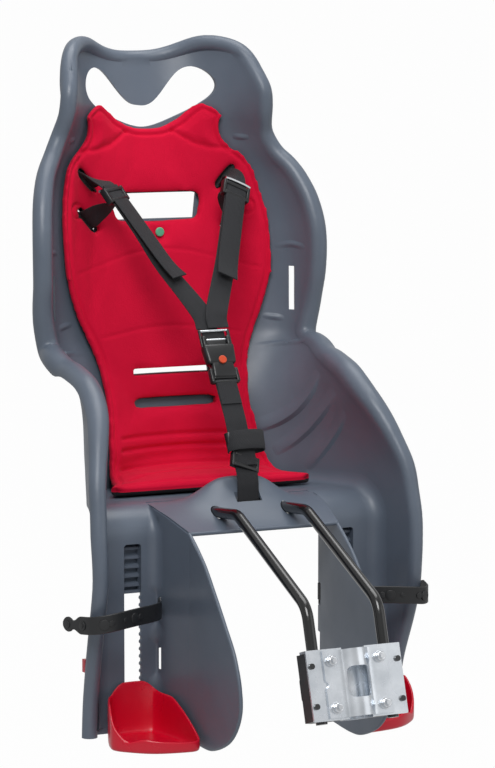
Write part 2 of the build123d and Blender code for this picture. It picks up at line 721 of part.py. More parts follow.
def shoulder_strap(side):
    return [ribbon(*shoulder_path(side)), ribbon(*loop_path(side))]


def strap_adjuster(side):
    a, run, wide, _ = strap_run(side)
    return strap_slide(a, run, wide, tall=ADJUSTER_H, deep=ADJUSTER_T)


def strap_anchor(side):
    """Bars behind the back that the webbing is sewn round."""
    bars = []
    for x, z in SHOULDER_SLITS:
        bar = fillet(Box(6.0, 5.0, 44.0).edges().filter_by(Axis.Z), 1.5)
        bars.append(Pos(side * x, anchor_y(x, z) + 2.5, z) * Rot(0, side * SLIT_TURN, 0) * bar)
    return bars


BUTTON_R = 4.6
BUTTON_TRAVEL = 2.2
TONGUE_W = 12.0


def buckle_body():
    body = Pos(0, 0, -4) * Box(38.0, 13.0, 40.0)
    body = fillet(body.edges().filter_by(Axis.Y), 7.0)
    body = fillet(body.edges().group_by(Axis.Y)[0] + body.edges().group_by(Axis.Y)[-1], 1.5)
    body = body - Pos(0, 0, 10) * Box(2 * TONGUE_W + 2 * CLEAR, 3.0 + 2 * CLEAR, 16.0)
    body = body - Pos(0, 0, -22) * Box(WEB_W + 1.2, WEB_T + 1.0, 16.0)
    body = body - Pos(0, -5.0, -4) * Rot(90, 0, 0) * Cylinder(BUTTON_R + RUN_FIT, 7.0)
    return BUCKLE * body


def buckle_button():
    button = Pos(0, -5.75, -4) * Rot(90, 0, 0) * Cylinder(BUTTON_R, 3.5)
    return BUCKLE * fillet(button.edges().group_by(Axis.Y)[0], 0.8)


def buckle_tongue():
    plate = Pos(0, 0, 10) * Box(2 * TONGUE_W, 3.0, 15.0)
    plate = plate + Pos(0, 0, 26) * Box(36.0, 3.0, 19.0)
    plate = fillet(plate.edges().filter_by(Axis.Y).group_by(Axis.Z)[-1], 4.0)
    return BUCKLE * (plate - Pos(0, 0, 28) * Box(29.0, 5.0, 6.0))


ANCHOR_TOP = min(deck_z(20.0, POMMEL_SLIT_Y - 8), deck_z(20.0, POMMEL_SLIT_Y + 8)) - WALL * 1.15 - CLEAR
CROTCH_TOP = Vector(0, 281.0, 243.0)
CROTCH_LOW = Vector(0, 249.0, 183.0)


def crotch_at(f):
    """Point of the straight run of the crotch strap."""
    return CROTCH_TOP + (CROTCH_LOW - CROTCH_TOP) * f


CROTCH = [in_buckle(0, 0, -15.0), in_buckle(0, 0, -22.0), in_buckle(0, 0, -30.0)]
CROTCH += [crotch_at(f) for f in (0.0, 0.2, 0.4, 0.6, 0.8, 0.91, 1.0)]
CROTCH += [Vector(0, POMMEL_SLIT_Y, z) for z in (172.0, 163.0, 155.0, ANCHOR_TOP + 0.5)]


def crotch_strap():
    return ribbon(CROTCH, [(1, 0, 0)] * len(CROTCH))


def crotch_adjuster():
    return strap_slide(crotch_at(0.78), CROTCH_TOP - CROTCH_LOW, Vector(1, 0, 0), tall=13.0)


def strap_keeper():
    return strap_slide(crotch_at(0.42), CROTCH_TOP - CROTCH_LOW, Vector(1, 0, 0), half=18.0, tall=18.0, deep=9.0)


def crotch_anchor():
    bar = Pos(0, POMMEL_SLIT_Y, ANCHOR_TOP - 2.5) * Box(40.0, 16.0, 5.0)
    return fillet(bar.edges().filter_by(Axis.X), 1.5)


# Footrests
TRAY_FLOOR = -92.0
TRAY_TOP = -35.0
TRAY_CORNER = 13.0        # size of the cut corners of the tray's rear wall
TRAY_T = 2.8
TRAY_REAR = PANEL_Y - 2.0
TRAY_PLAN = [(103.0, TRAY_REAR), (158.0, TRAY_REAR), (170.0, 240.0), (181.0, 212.0), (181.0, 197.0), (152.0, 168.0),
             (122.0, 160.0), (94.0, 158.0), (94.0, 205.0)]
FOOT_TRAVEL = 60.0
KEY_W = 8.0               # half width of the footrest's key in its slot


def tray_block(grow, z0, z1):
    """Footprint of the tray grown by that much, as a block."""
    cx = sum(p[0] for p in TRAY_PLAN) / len(TRAY_PLAN)
    cy = sum(p[1] for p in TRAY_PLAN) / len(TRAY_PLAN)
    pts = []
    for x, y in TRAY_PLAN:
        pts.append((x + grow * (1 if x > cx else -1), y + grow * (1 if y > cy else -1), z0))
    edges = [Edge.make_line(a, b) for a, b in zip(pts, pts[1:] + pts[:1])]
    block = Solid.extrude(Face(Wire(edges)), Vector(0, 0, z1 - z0))
    return fillet(block.edges().filter_by(Axis.Z), 6.0)


def footrest():
    """Footrest of one side: an open tray with a key that runs in the slot of the leg panel."""
    tray = tray_block(0.0, TRAY_FLOOR - 3.0, TRAY_TOP) - tray_block(-TRAY_T, TRAY_FLOOR, TRAY_TOP + 10)
    rear = [(300.0, TRAY_TOP + 1), (252.0, TRAY_TOP + 1)]
    lip = [(140.0, TRAY_FLOOR + 5.0), (100.0, TRAY_FLOOR + 5.0), (100.0, 100.0), (300.0, 100.0)]
    inner = rear + [(238.0, TRAY_TOP - 8.0), (172.0, TRAY_FLOOR + 12.0)] + lip
    outer = rear + [(240.0, TRAY_TOP - 6.0), (216.0, TRAY_TOP - 13.0), (202.0, TRAY_TOP - 32.0),
                    (188.0, TRAY_FLOOR + 8.0)] + lip
    tray = tray - prism_x(inner, 60.0, 160.0) - prism_x(outer, 160.0, 230.0)
    high = TRAY_TOP + 2.0
    low = TRAY_TOP - TRAY_CORNER
    x0 = TRAY_PLAN[0][0]
    x1 = TRAY_PLAN[1][0]
    for x, way in ((x0, 1), (x1, -1)):
        far = x - way * 40.0
        corner = [(x + way * TRAY_CORNER, high), (x, low), (far, low), (far, high)]
        tray = tray - prism_y(corner, 218.0, TRAY_REAR + 1.0)
    key = box(SLOT_X - KEY_W, SLOT_X + KEY_W, TRAY_REAR - 1.5, PANEL_Y + WALL + 3.0, -72.0, -44.0)
    plate = box(SLOT_X - 15, SLOT_X + 15, PANEL_Y + WALL + CLEAR, PANEL_Y + WALL + 4.0, -74.0, -42.0)
    ears = box(SLOT_X - 15, SLOT_X + 2, PANEL_Y + WALL + 3.0, PANEL_Y + WALL + 18.0, -72.0, -44.0)
    ears = ears - box(SLOT_X - 20, SLOT_X + 5, PANEL_Y + WALL + 6.0, PANEL_Y + WALL + 30.0, -66.0, -50.0)
    tray = tray + key + plate + ears
    x, y = LOCK_PIN
    return tray - rod((x, y, -80), (x, y, -30), 2.0)


LOCK_PIN = (SLOT_X - 9.0, PANEL_Y + WALL + 12.5)
LOCK_Z = (-65.5, -50.5)
TAB_TOP = -11.0


def footrest_lock():
    """Lock lever of one side, turning on a pin between the ears of the footrest, its tab outside the rim."""
    x, y = LOCK_PIN
    z0, z1 = LOCK_Z
    hub = rod((x, y, z0), (x, y, z1), 5.0)
    arm = box(x, 171.0, y - 3.0, y + 1.5, z0, z1) + box(162.0, 171.0, y - 3.0, y + 1.5, z0, TAB_TOP)
    arm = arm + box(164.0, 179.0, y - 3.0, y + 4.0, TAB_TOP - 14.0, TAB_TOP)
    return hub + arm - rod((x, y, -80), (x, y, -30), 2.0 + RUN_FIT)


def lock_pin():
    x, y = LOCK_PIN
    return rod((x, y, -71.0), (x, y, -45.0), 2.0 - 0.02)


FOOT_STRAP = [(SLIT_X, 271.2, 44.0), (SLIT_X + 0.1, 267.8, 44.0), (98.0, 263.2, 44.0), (101.6, 257.2, 44.0),
              (105.0, 249.0, 44.2), (109.5, 236.0, 44.7), (124.0, 221.0, 45.5), (150.0, 206.0, 46.0), (176.0, 196.0, 45.0)]
STRAP_ENDS = {
    1: [(190.0, 197.0, 43.5), (199.5, 207.0, 43.5), (203.5, 221.0, 46.0), (204.5, 236.0, 50.0), (204.0, 249.0, 55.0)],
    -1: [(193.0, 196.0, 43.0), (203.0, 205.0, 41.0), (208.0, 219.0, 39.5), (213.0, 233.0, 38.5), (217.0, 246.0, 38.0)],
}


def foot_strap(side):
    """Foot strap of one side: a rubber band from a slit in the panel round the front of the rim."""
    path = [Vector(x * side, y, z) for x, y, z in FOOT_STRAP + STRAP_ENDS[side]]
    band = ribbon(path, [(0, 0, 1)] * len(path), 19.0, 2.6)
    x = side * SLIT_X
    stop = box(x - 7, x + 7, PANEL_Y + WALL + 1.5, PANEL_Y + WALL + 4.5, 28.0, 60.0)
    return [band, stop]


# Under the seat
def bow_plate():
    plate = box(-70, 70, BOSS_Y - 16, BOSS_Y + 16, PLATE_Z - 3.0, PLATE_Z)
    for x in (*BOSS_X, *[-v for v in BOSS_X]):
        plate = plate - rod((x, BOSS_Y, PLATE_Z - 5), (x, BOSS_Y, PLATE_Z + 2), HOLE_R)
    return plate


def bow_screws():
    out = []
    for x in (*BOSS_X, *[-v for v in BOSS_X]):
        head = rod((x, BOSS_Y, PLATE_Z - 7.0), (x, BOSS_Y, PLATE_Z - 3.0), 5.2)
        out.append(head + rod((x, BOSS_Y, PLATE_Z - 4.0), (x, BOSS_Y, PLATE_Z + 10.0), SCREW_R))
    return out


# Bracket on the seat tube, in its own frame: x, y back from the tube's axis, z along it
BRACKET = Rot(-LEAN, 0, 0)
FLAT_Y = -9.0             # between the two plates
PLATE_T = 2.5
BASE_X = 54.0
BASE_Z = (-36.0, 37.0)
CLAMP_X = 36.5
CLAMP_Z = (-34.0, 35.0)
BOLT_X = 27.6
BOLT_Z = (24.0, -24.0)
SIDE_SCREW_X = 49.3
SIDE_SCREW_Z = (20.6, -20.6)


def trough(front):
    """Half of the tube's seat in a plate: ring cut at the parting plane."""
    z0, z1 = CLAMP_Z if front else BASE_Z
    ring = Pos(0, 0, (z0 + z1) / 2) * (Cylinder(TUBE_R + PLATE_T, z1 - z0) - Cylinder(TUBE_R, z1 - z0 + 2))
    if front:
        return ring - box(-40, 40, FLAT_Y, 60, -60, 60)
    return ring - box(-40, 40, -60, FLAT_Y, -60, 60)


def tube_way():
    return Cylinder(TUBE_R, 200)


def clamp_plate():
    plate = box(-CLAMP_X, CLAMP_X, FLAT_Y - PLATE_T, FLAT_Y, *CLAMP_Z)
    plate = fillet(plate.edges().filter_by(Axis.Y), 2.0)
    plate = (plate - tube_way()) + trough(True)
    window = box(-12.5, 12.5, -40, FLAT_Y + 1, -15, 17)
    plate = plate - fillet(window.edges().filter_by(Axis.Y), 5.0)
    for sx in (-1, 1):
        for z in BOLT_Z:
            plate = plate - rod((sx * BOLT_X, -30, z), (sx * BOLT_X, 0, z), 4.2)
        plate = plate - rod((sx * (CLAMP_X + 1), -30, 0), (sx * (CLAMP_X + 1), 0, 0), 4.0)
    return BRACKET * plate


def base_plate():
    plate = box(-BASE_X, BASE_X, FLAT_Y, FLAT_Y + PLATE_T, *BASE_Z)
    plate = fillet(plate.edges().filter_by(Axis.Y), 1.5)
    lip = box(-BASE_X, -BASE_X + 16, FLAT_Y, FLAT_Y + 14, BASE_Z[1] - PLATE_T, BASE_Z[1])
    plate = (plate - tube_way()) + trough(False)
    plate = plate + lip + mirrored(lip)
    for sx in (-1, 1):
        for z in BOLT_Z:
            plate = plate - rod((sx * BOLT_X, -30, z), (sx * BOLT_X, 0, z), 4.2)
        for z in SIDE_SCREW_Z:
            plate = plate - rod((sx * SIDE_SCREW_X, -30, z), (sx * SIDE_SCREW_X, 0, z), 2.6)
        plate = plate - rod((sx * ROD_X, ROD_BACK, 20), (sx * ROD_X, ROD_BACK, 60), ROD_R + 0.6)
    return BRACKET * plate


BLOCK_Y = FLAT_Y + PLATE_T
BLOCK_SIDE_Y = 14.5
BLOCK_MID_Y = 28.0
BAR_Y = (18.2, 24.2)
BAR_TRAVEL = 5.0


def lock_block():
    """Moulded block behind the base plate that holds the two rods."""
    z0 = BASE_Z[0] + 1
    z1 = BASE_Z[1] - PLATE_T
    plan = [(-53.0, BLOCK_Y), (53.0, BLOCK_Y), (53.0, BLOCK_SIDE_Y), (40.0, BLOCK_MID_Y), (-40.0, BLOCK_MID_Y),
            (-53.0, BLOCK_SIDE_Y)]
    edges = [Edge.make_line((*a, z0), (*b, z0)) for a, b in zip(plan, plan[1:] + plan[:1])]
    block = Solid.extrude(Face(Wire(edges)), Vector(0, 0, z1 - z0))
    block = block - Pos(0, 0, 0) * Cylinder(TUBE_R + PLATE_T + CLEAR, 200)
    block = block - box(-TUBE_R - PLATE_T - CLEAR, TUBE_R + PLATE_T + CLEAR, -40, 0, -60, 60)
    for sx in (-1, 1):
        block = block - rod((sx * ROD_X, ROD_BACK, -60), (sx * ROD_X, ROD_BACK, 60), ROD_R + RUN_FIT)
        for z in BOLT_Z:
            block = block - rod((sx * BOLT_X, -20, z), (sx * BOLT_X, BLOCK_Y + 8, z), 7.8)
        for z in SIDE_SCREW_Z:
            block = block - rod((sx * SIDE_SCREW_X, -20, z), (sx * SIDE_SCREW_X, BLOCK_Y + 12, z), 2.0)
        block = block - box(sx * 31.5, sx * 46.0, ROD_BACK + ROD_R, 40, -12 - CLEAR, 12 + CLEAR)
    block = block - box(-46.0, 46.0, 22.0, 40, -12 - CLEAR, 12 + CLEAR)
    return BRACKET * block


def release_bar():
    """Sprung bar at the back of the block, pulled back to free the rods."""
    y0 = ROD_BACK + ROD_R + 2.5
    bar = box(-45.0, 45.0, 23.0, 32.0, -11.5, 11.5)
    bar = fillet(bar.edges().filter_by(Axis.X), 3.0)
    for sx in (-1, 1):
        bar = bar + box(sx * 33.0, sx * 45.0, y0, 24.0, -11.5, 11.5)
    return BRACKET * bar


def hex_bolt(x, z):
    flange = rod((x, FLAT_Y - PLATE_T - 1.6, z), (x, FLAT_Y - PLATE_T, z), 7.2)
    head = Plane(origin=(x, FLAT_Y - PLATE_T - 8.0, z), z_dir=(0, 1, 0)) * extrude(RegularPolygon(6.0, 6), 6.6)
    stem = rod((x, FLAT_Y - PLATE_T - 4, z), (x, BLOCK_Y + 6.5, z), 4.0)
    return BRACKET * (head + flange + stem)


def hex_nut(x, z):
    nut = Plane(origin=(x, BLOCK_Y, z), z_dir=(0, 1, 0)) * extrude(RegularPolygon(7.0, 6), 6.0)
    return BRACKET * (nut - rod((x, BLOCK_Y - 2, z), (x, BLOCK_Y + 10, z), 4.05))


def clamp_bolts():
    return [hex_bolt(sx * BOLT_X, z) for sx in (-1, 1) for z in BOLT_Z]


def clamp_nuts():
    return [hex_nut(sx * BOLT_X, z) for sx in (-1, 1) for z in BOLT_Z]


def block_screws():
    out = []
    for sx in (-1, 1):
        for z in SIDE_SCREW_Z:
            x = sx * SIDE_SCREW_X
            head = rod((x, FLAT_Y - 2.4, z), (x, FLAT_Y, z), 3.0)
            stem = rod((x, FLAT_Y - 1, z), (x, BLOCK_Y + 11.0, z), 1.95)
            out.append(BRACKET * (head + stem))
    return out


def write(name, shape):
    """Writes one node: a solid, or a group of separate solids."""
    if isinstance(shape, (list, tuple)):
        shape = Compound(children=[Solid(v.solids()[0].wrapped) for v in shape])
    shape.label = name
    export_step(shape, "parts/" + name + ".step")


def main():
    write("seat_shell", seat_shell())
    write("seat_pad", seat_pad())
    write("pad_rivet", pad_rivet())
    for name, side in (("left", 1), ("right", -1)):
        write("shoulder_strap_" + name, shoulder_strap(side))
        write("strap_adjuster_" + name, strap_adjuster(side))
        write("strap_anchor_" + name, strap_anchor(side))
    write("buckle_body", buckle_body())
    write("buckle_button", buckle_button())
    write("buckle_tongue", buckle_tongue())
    write("crotch_strap", crotch_strap())
    write("crotch_adjuster", crotch_adjuster())
    write("strap_keeper", strap_keeper())
    write("crotch_anchor", crotch_anchor())
    write("footrest_left", footrest())
    write("footrest_right", mirrored(footrest()))
    write("footrest_lock_left", footrest_lock())
    write("footrest_lock_right", mirrored(footrest_lock()))
    write("lock_pin_left", lock_pin())
    write("lock_pin_right", mirrored(lock_pin()))
    write("foot_strap_left", foot_strap(1))
    write("foot_strap_right", foot_strap(-1))
    write("carrier_bow", carrier_bow())
    write("bow_plate", bow_plate())
    write("bow_screws", bow_screws())
    write("base_plate", base_plate())
    write("clamp_plate", clamp_plate())
    write("lock_block", lock_block())
    write("release_bar", release_bar())
    write("clamp_bolts", clamp_bolts())
    write("clamp_nuts", clamp_nuts())
    write("block_screws", block_screws())


if __name__ == "__main__":
    main()
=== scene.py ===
"""Looks of a child seat for the rear of a bicycle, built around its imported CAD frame."""

import json
import logging
import math
from dataclasses import dataclass, field
from enum import Enum
from typing import Sequence

import bmesh
import bpy
import numpy as np
from mathutils import Matrix, Vector
from mathutils.bvhtree import BVHTree
from mathutils.kdtree import KDTree

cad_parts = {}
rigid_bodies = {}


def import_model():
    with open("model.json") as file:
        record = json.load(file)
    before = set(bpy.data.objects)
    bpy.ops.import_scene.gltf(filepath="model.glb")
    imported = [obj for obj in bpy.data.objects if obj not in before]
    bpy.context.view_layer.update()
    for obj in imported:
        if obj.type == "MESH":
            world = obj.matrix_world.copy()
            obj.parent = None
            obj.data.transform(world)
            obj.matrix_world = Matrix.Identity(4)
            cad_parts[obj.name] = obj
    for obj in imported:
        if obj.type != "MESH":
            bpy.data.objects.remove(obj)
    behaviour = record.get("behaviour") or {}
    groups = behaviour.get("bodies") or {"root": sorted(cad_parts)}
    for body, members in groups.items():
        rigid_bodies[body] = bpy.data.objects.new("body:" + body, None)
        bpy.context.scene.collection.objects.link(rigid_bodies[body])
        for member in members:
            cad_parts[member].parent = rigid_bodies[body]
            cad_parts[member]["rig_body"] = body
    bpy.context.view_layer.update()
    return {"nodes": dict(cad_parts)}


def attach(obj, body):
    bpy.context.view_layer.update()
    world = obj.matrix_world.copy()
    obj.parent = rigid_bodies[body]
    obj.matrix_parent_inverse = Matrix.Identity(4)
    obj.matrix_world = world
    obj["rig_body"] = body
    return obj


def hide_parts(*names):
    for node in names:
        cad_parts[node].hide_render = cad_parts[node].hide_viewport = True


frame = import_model()
LOG = logging.getLogger("child_seat")
MM = 0.001
Colour = tuple[float, float, float, float]
Point = tuple[float, float, float]
Piece = bpy.types.Object
Tree = bpy.types.NodeTree
Node = bpy.types.Node
Socket = bpy.types.NodeSocket


def linear(code: str) -> Colour:
    """Turns an sRGB hex colour into linear light.

    Args:
        code: six hex digits.

    Returns:
        Linear red, green, blue and alpha 1.
    """
    parts = [int(code[i:i + 2], 16) / 255 for i in (0, 2, 4)]
    r, g, b = (p / 12.92 if p <= 0.04045 else ((p + 0.055) / 1.055) ** 2.4 for p in parts)
    return (r, g, b, 1.0)


def add_node(tree: Tree, kind: str, settings: dict | None = None, links: dict | None = None) -> Node:
    """Adds a shader node.

    Args:
        tree: the tree that gets it.
        kind: the node's type without the ShaderNode prefix.
        settings: attributes by name, and socket values by index or by the socket's name.
        links: output sockets by the input's index or name.

    Returns:
        The new node.
    """
    node = tree.nodes.new("ShaderNode" + kind)
    for key, value in (settings or {}).items():
        if isinstance(key, int) or key in node.inputs:
            node.inputs[key].default_value = value
        else:
            setattr(node, key, value)
    for key, socket in (links or {}).items():
        tree.links.new(socket, node.inputs[key])
    return node


def seen_share(tree: Tree, mirrored: float) -> Socket:
    """How much of a bright surface a ray sees: all from the camera, a share in mirrors, none as light.

    Args:
        tree: the tree that gets the nodes.
        mirrored: the share that shows in glossy surfaces.

    Returns:
        The share as a socket.
    """
    ray = add_node(tree, "LightPath").outputs
    shine = add_node(tree, "Math", {"operation": "MULTIPLY", 1: mirrored}, {0: ray["Is Glossy Ray"]})
    both = add_node(tree, "Math", {"operation": "MAXIMUM"}, {0: ray["Is Camera Ray"], 1: shine.outputs[0]})
    return both.outputs[0]


@dataclass(frozen=True)
class Finish:
    """A surface finish. Each kind of finish adds its own pattern in dress()."""

    name: str
    colour: str
    rough: float
    metal: float = 0.0
    ior: float = 1.5

    def material(self) -> bpy.types.Material:
        """Makes the material once and returns it from then on."""
        found = bpy.data.materials.get(self.name)
        if found:
            return found
        made = bpy.data.materials.new(self.name)
        made.use_nodes = True
        tree = made.node_tree
        shader = tree.nodes["Principled BSDF"]
        shader.inputs["Base Color"].default_value = linear(self.colour)
        shader.inputs["Roughness"].default_value = self.rough
        shader.inputs["Metallic"].default_value = self.metal
        if not self.metal:
            shader.inputs["IOR"].default_value = self.ior
        self.dress(tree, shader)
        return made

    def dress(self, tree: Tree, shader: Node) -> None:
        """Adds the finish's pattern. The plain finish has none."""

    def tint(self, tree: Tree, shader: Node, where: Socket, mm: float, dark: str, share: float) -> None:
        """Varies the colour softly over the surface.

        Args:
            tree: the material's tree.
            shader: its main shader.
            where: coordinates in metres.
            mm: size of the cloudy patches.
            dark: the darker colour.
            share: how much of it comes through.
        """
        cloud = add_node(tree, "TexNoise", {"Scale": 1000 / mm, "Detail": 3.0}, {"Vector": where})
        ramp = add_node(tree, "MapRange", {"From Min": 0.3, "From Max": 0.7, "To Min": 0.0, "To Max": share},
                        {"Value": cloud.outputs["Fac"]})
        mix = add_node(tree, "MixRGB", {1: linear(self.colour), 2: linear(dark)}, {0: ramp.outputs[0]})
        tree.links.new(mix.outputs[0], shader.inputs["Base Color"])

    def raised(self, tree: Tree, shader: Node, height: Socket, mm: float, strength: float) -> None:
        """Feeds a height to the shader's normal.

        Args:
            tree: the material's tree.
            shader: its main shader.
            height: height from 0 to 1.
            mm: what a height of 1 stands for.
            strength: how strongly it shows.
        """
        bump = add_node(tree, "Bump", {"Strength": strength, "Distance": mm * MM}, {"Height": height})
        tree.links.new(bump.outputs[0], shader.inputs["Normal"])


@dataclass(frozen=True)
class MouldedPlastic(Finish):
    """Polypropylene or ABS from a spark-eroded mould: a satin skin with a fine grain."""

    dark: str = "000000"
    grain_mm: float = 0.9
    grain: float = 0.25
    coat: float = 0.0

    def dress(self, tree: Tree, shader: Node) -> None:
        """Adds cloudy tint, uneven gloss and the mould's grain, drawn coarse enough to show."""
        where = add_node(tree, "TexCoord").outputs["Object"]
        self.tint(tree, shader, where, 70.0, self.dark, 0.35)
        skin = add_node(tree, "TexNoise", {"Scale": 1000 / 45.0, "Detail": 4.0}, {"Vector": where})
        rough = add_node(tree, "MapRange", {"From Min": 0.3, "From Max": 0.7, "To Min": self.rough - 0.06,
                                            "To Max": self.rough + 0.06}, {"Value": skin.outputs["Fac"]})
        tree.links.new(rough.outputs[0], shader.inputs["Roughness"])
        grain = add_node(tree, "TexNoise", {"Scale": 1000 / self.grain_mm, "Detail": 2.0}, {"Vector": where})
        self.raised(tree, shader, grain.outputs["Fac"], 0.12, self.grain)
        shader.inputs["Coat Weight"].default_value = self.coat
        shader.inputs["Coat Roughness"].default_value = 0.2


@dataclass(frozen=True)
class KnitFoam(Finish):
    """Polyester knit laminated to foam and hot pressed: matt, with tiny loops and a soft sheen."""

    dark: str = "7a0020"
    loop_mm: float = 1.5

    def dress(self, tree: Tree, shader: Node) -> None:
        """Adds the loops of the knit. They are drawn at twice their real size so that they show."""
        where = add_node(tree, "TexCoord").outputs["Object"]
        self.tint(tree, shader, where, 55.0, self.dark, 0.22)
        loops = add_node(tree, "TexVoronoi", {"Scale": 1000 / self.loop_mm}, {"Vector": where})
        wide = add_node(tree, "TexNoise", {"Scale": 1000 / 14.0, "Detail": 2.0}, {"Vector": where})
        both = add_node(tree, "Math", {"operation": "MULTIPLY_ADD", 1: 1.6},
                        {0: wide.outputs["Fac"], 2: loops.outputs["Distance"]})
        self.raised(tree, shader, both.outputs[0], 0.25, 0.55)
        shader.inputs["Sheen Weight"].default_value = 0.05
        shader.inputs["Sheen Roughness"].default_value = 0.5
        shader.inputs["Sheen Tint"].default_value = (1.0, 0.75, 0.78, 1.0)
        shader.inputs["Specular IOR Level"].default_value = 0.12


@dataclass(frozen=True)
class Webbing(Finish):
    """Polypropylene webbing: ribs across the strap, crossed by fine warp threads, with bound edges."""

    rib_mm: float = 1.7
    warp_mm: float = 2.1
    # Colour of the raised threads: a painted highlight on the tops of the weave
    light: str = "323337"

    def dress(self, tree: Tree, shader: Node) -> None:
        """Adds the weave on the strap's own map, which is in metres across and along, with painted shade in its
        grooves and a painted highlight on its raised threads.
        """
        uv = add_node(tree, "UVMap", {"uv_map": "strap"}).outputs[0]
        parts = add_node(tree, "SeparateXYZ", links={0: uv})
        ribs = []
        for axis, mm, shift in ((1, self.rib_mm, 0.0), (0, self.warp_mm, 1.0)):
            wave = add_node(tree, "Math", {"operation": "MULTIPLY_ADD", 1: 2000 * math.pi / mm, 2: shift},
                            {0: parts.outputs[axis]})
            ribs.append(add_node(tree, "Math", {"operation": "SINE"}, {0: wave.outputs[0]}).outputs[0])
        weave = add_node(tree, "Math", {"operation": "MULTIPLY"}, {0: ribs[0], 1: ribs[1]})
        height = add_node(tree, "MapRange", {"From Min": -1.0, "From Max": 1.0}, {"Value": weave.outputs[0]})
        # Colour follows the weave's height: painted shade in the grooves, painted highlight on the raised
        # threads
        mix = add_node(tree, "MixRGB", {1: linear(self.colour), 2: linear(self.light)},
                       {0: height.outputs[0]})
        tree.links.new(mix.outputs[0], shader.inputs["Base Color"])
        self.raised(tree, shader, height.outputs[0], 0.45, 1.0)
        shader.inputs["Sheen Weight"].default_value = 0.04
        shader.inputs["Specular IOR Level"].default_value = 0.3


@dataclass(frozen=True)
class PlatedSteel(Finish):
    """Pressed steel with bright zinc: a grey metal with faint cloudy spangle and rolling lines."""

    spangle_mm: float = 22.0

    def dress(self, tree: Tree, shader: Node) -> None:
        """Adds spangle to the colour and gloss and fine rolling lines to the normal."""
        where = add_node(tree, "TexCoord").outputs["Object"]
        self.tint(tree, shader, where, self.spangle_mm, "a9b1b9", 0.45)
        cells = add_node(tree, "TexVoronoi", {"Scale": 1000 / self.spangle_mm}, {"Vector": where})
        rough = add_node(tree, "MapRange", {"To Min": self.rough - 0.06, "To Max": self.rough + 0.08},
                         {"Value": cells.outputs["Distance"]})
        tree.links.new(rough.outputs[0], shader.inputs["Roughness"])
        flat = add_node(tree, "Mapping", {"Scale": (1.0, 0.05, 1.0)}, {"Vector": where})
        lines = add_node(tree, "TexNoise", {"Scale": 1000 / 0.8, "Detail": 2.0}, {"Vector": flat.outputs[0]})
        self.raised(tree, shader, lines.outputs["Fac"], 0.03, 0.15)


@dataclass(frozen=True)
class PaintedSteel(Finish):
    """Powder-coated steel: deep gloss with a slight orange peel."""

    peel_mm: float = 3.0

    def dress(self, tree: Tree, shader: Node) -> None:
        """Adds the orange peel and a clear top."""
        where = add_node(tree, "TexCoord").outputs["Object"]
        peel = add_node(tree, "TexNoise", {"Scale": 1000 / self.peel_mm, "Detail": 1.0}, {"Vector": where})
        self.tint(tree, shader, where, 30.0, "1d1e20", 0.5)
        self.raised(tree, shader, peel.outputs["Fac"], 0.06, 0.12)
        shader.inputs["Coat Weight"].default_value = 0.45
        shader.inputs["Coat Roughness"].default_value = 0.06


SHELL = MouldedPlastic("anthracite_polypropylene", "646e7c", 0.38, dark="4d5663")
RED = MouldedPlastic("red_polypropylene", "d9052c", 0.3, dark="bb0324", coat=0.05, grain=0.08)
BLACK = MouldedPlastic("black_acetal", "1d1e20", 0.34, dark="141516")
GREEN = MouldedPlastic("mint_acetal", "6fbf97", 0.35, dark="4d9c78", grain=0.1)
ORANGE = MouldedPlastic("orange_acetal", "d9512c", 0.35, dark="b83c1c", grain=0.1)
RUBBER = MouldedPlastic("black_rubber", "202123", 0.45, dark="17181a", grain=0.4)
PAD = KnitFoam("red_knit_on_foam", "db0f38", 0.85, dark="ab0029")
# Black knit for the pad's back and underside, also used as painted shade on the low band of its seat part's
# edges
UNDER = KnitFoam("black_knit_backing", "232326", 0.9, dark="17171a")
WEB = Webbing("black_webbing", "18191b", 0.7)
ZINC = PlatedSteel("zinc_plated_steel", "e9eef4", 0.25, metal=1.0)
NICKEL = PlatedSteel("nickel_plated_steel", "e3e6ea", 0.17, metal=1.0)
ROD = PaintedSteel("black_powder_coat", "0d0e0f", 0.2)
SCREW = PaintedSteel("black_oxide_steel", "202224", 0.4)


def deselect() -> None:
    """Deselects all objects."""
    for o in bpy.context.view_layer.objects:
        o.select_set(False)


def pick(piece: Piece) -> None:
    """Makes a piece the only selected and the active one."""
    deselect()
    piece.select_set(True)
    bpy.context.view_layer.objects.active = piece


def soften(piece: Piece, degrees: float = 35.0) -> Piece:
    """Shades a piece smoothly across edges flatter than an angle."""
    pick(piece)
    bpy.ops.object.shade_smooth_by_angle(angle=math.radians(degrees))
    return piece


def put_on(piece: Piece, finish: Finish) -> Piece:
    """Gives a piece one finish all over."""
    piece.data.materials.clear()
    piece.data.materials.append(finish.material())
    return piece


def modify(piece: Piece, kind: str, **settings: object) -> Piece:
    """Adds a modifier and applies it.

    Args:
        piece: the mesh object.
        kind: the modifier's type.
        settings: its attributes.

    Returns:
        The piece.
    """
    pick(piece)
    made = piece.modifiers.new(kind.title(), kind)
    for key, value in settings.items():
        setattr(made, key, value)
    bpy.ops.object.modifier_apply(modifier=made.name)
    return piece


def carve(piece: Piece, cut: Piece) -> Piece:
    """Cuts one piece out of another and removes the cutter."""
    modify(piece, "BOOLEAN", operation="DIFFERENCE", object=cut, solver="EXACT")
    bpy.data.objects.remove(cut)
    return piece


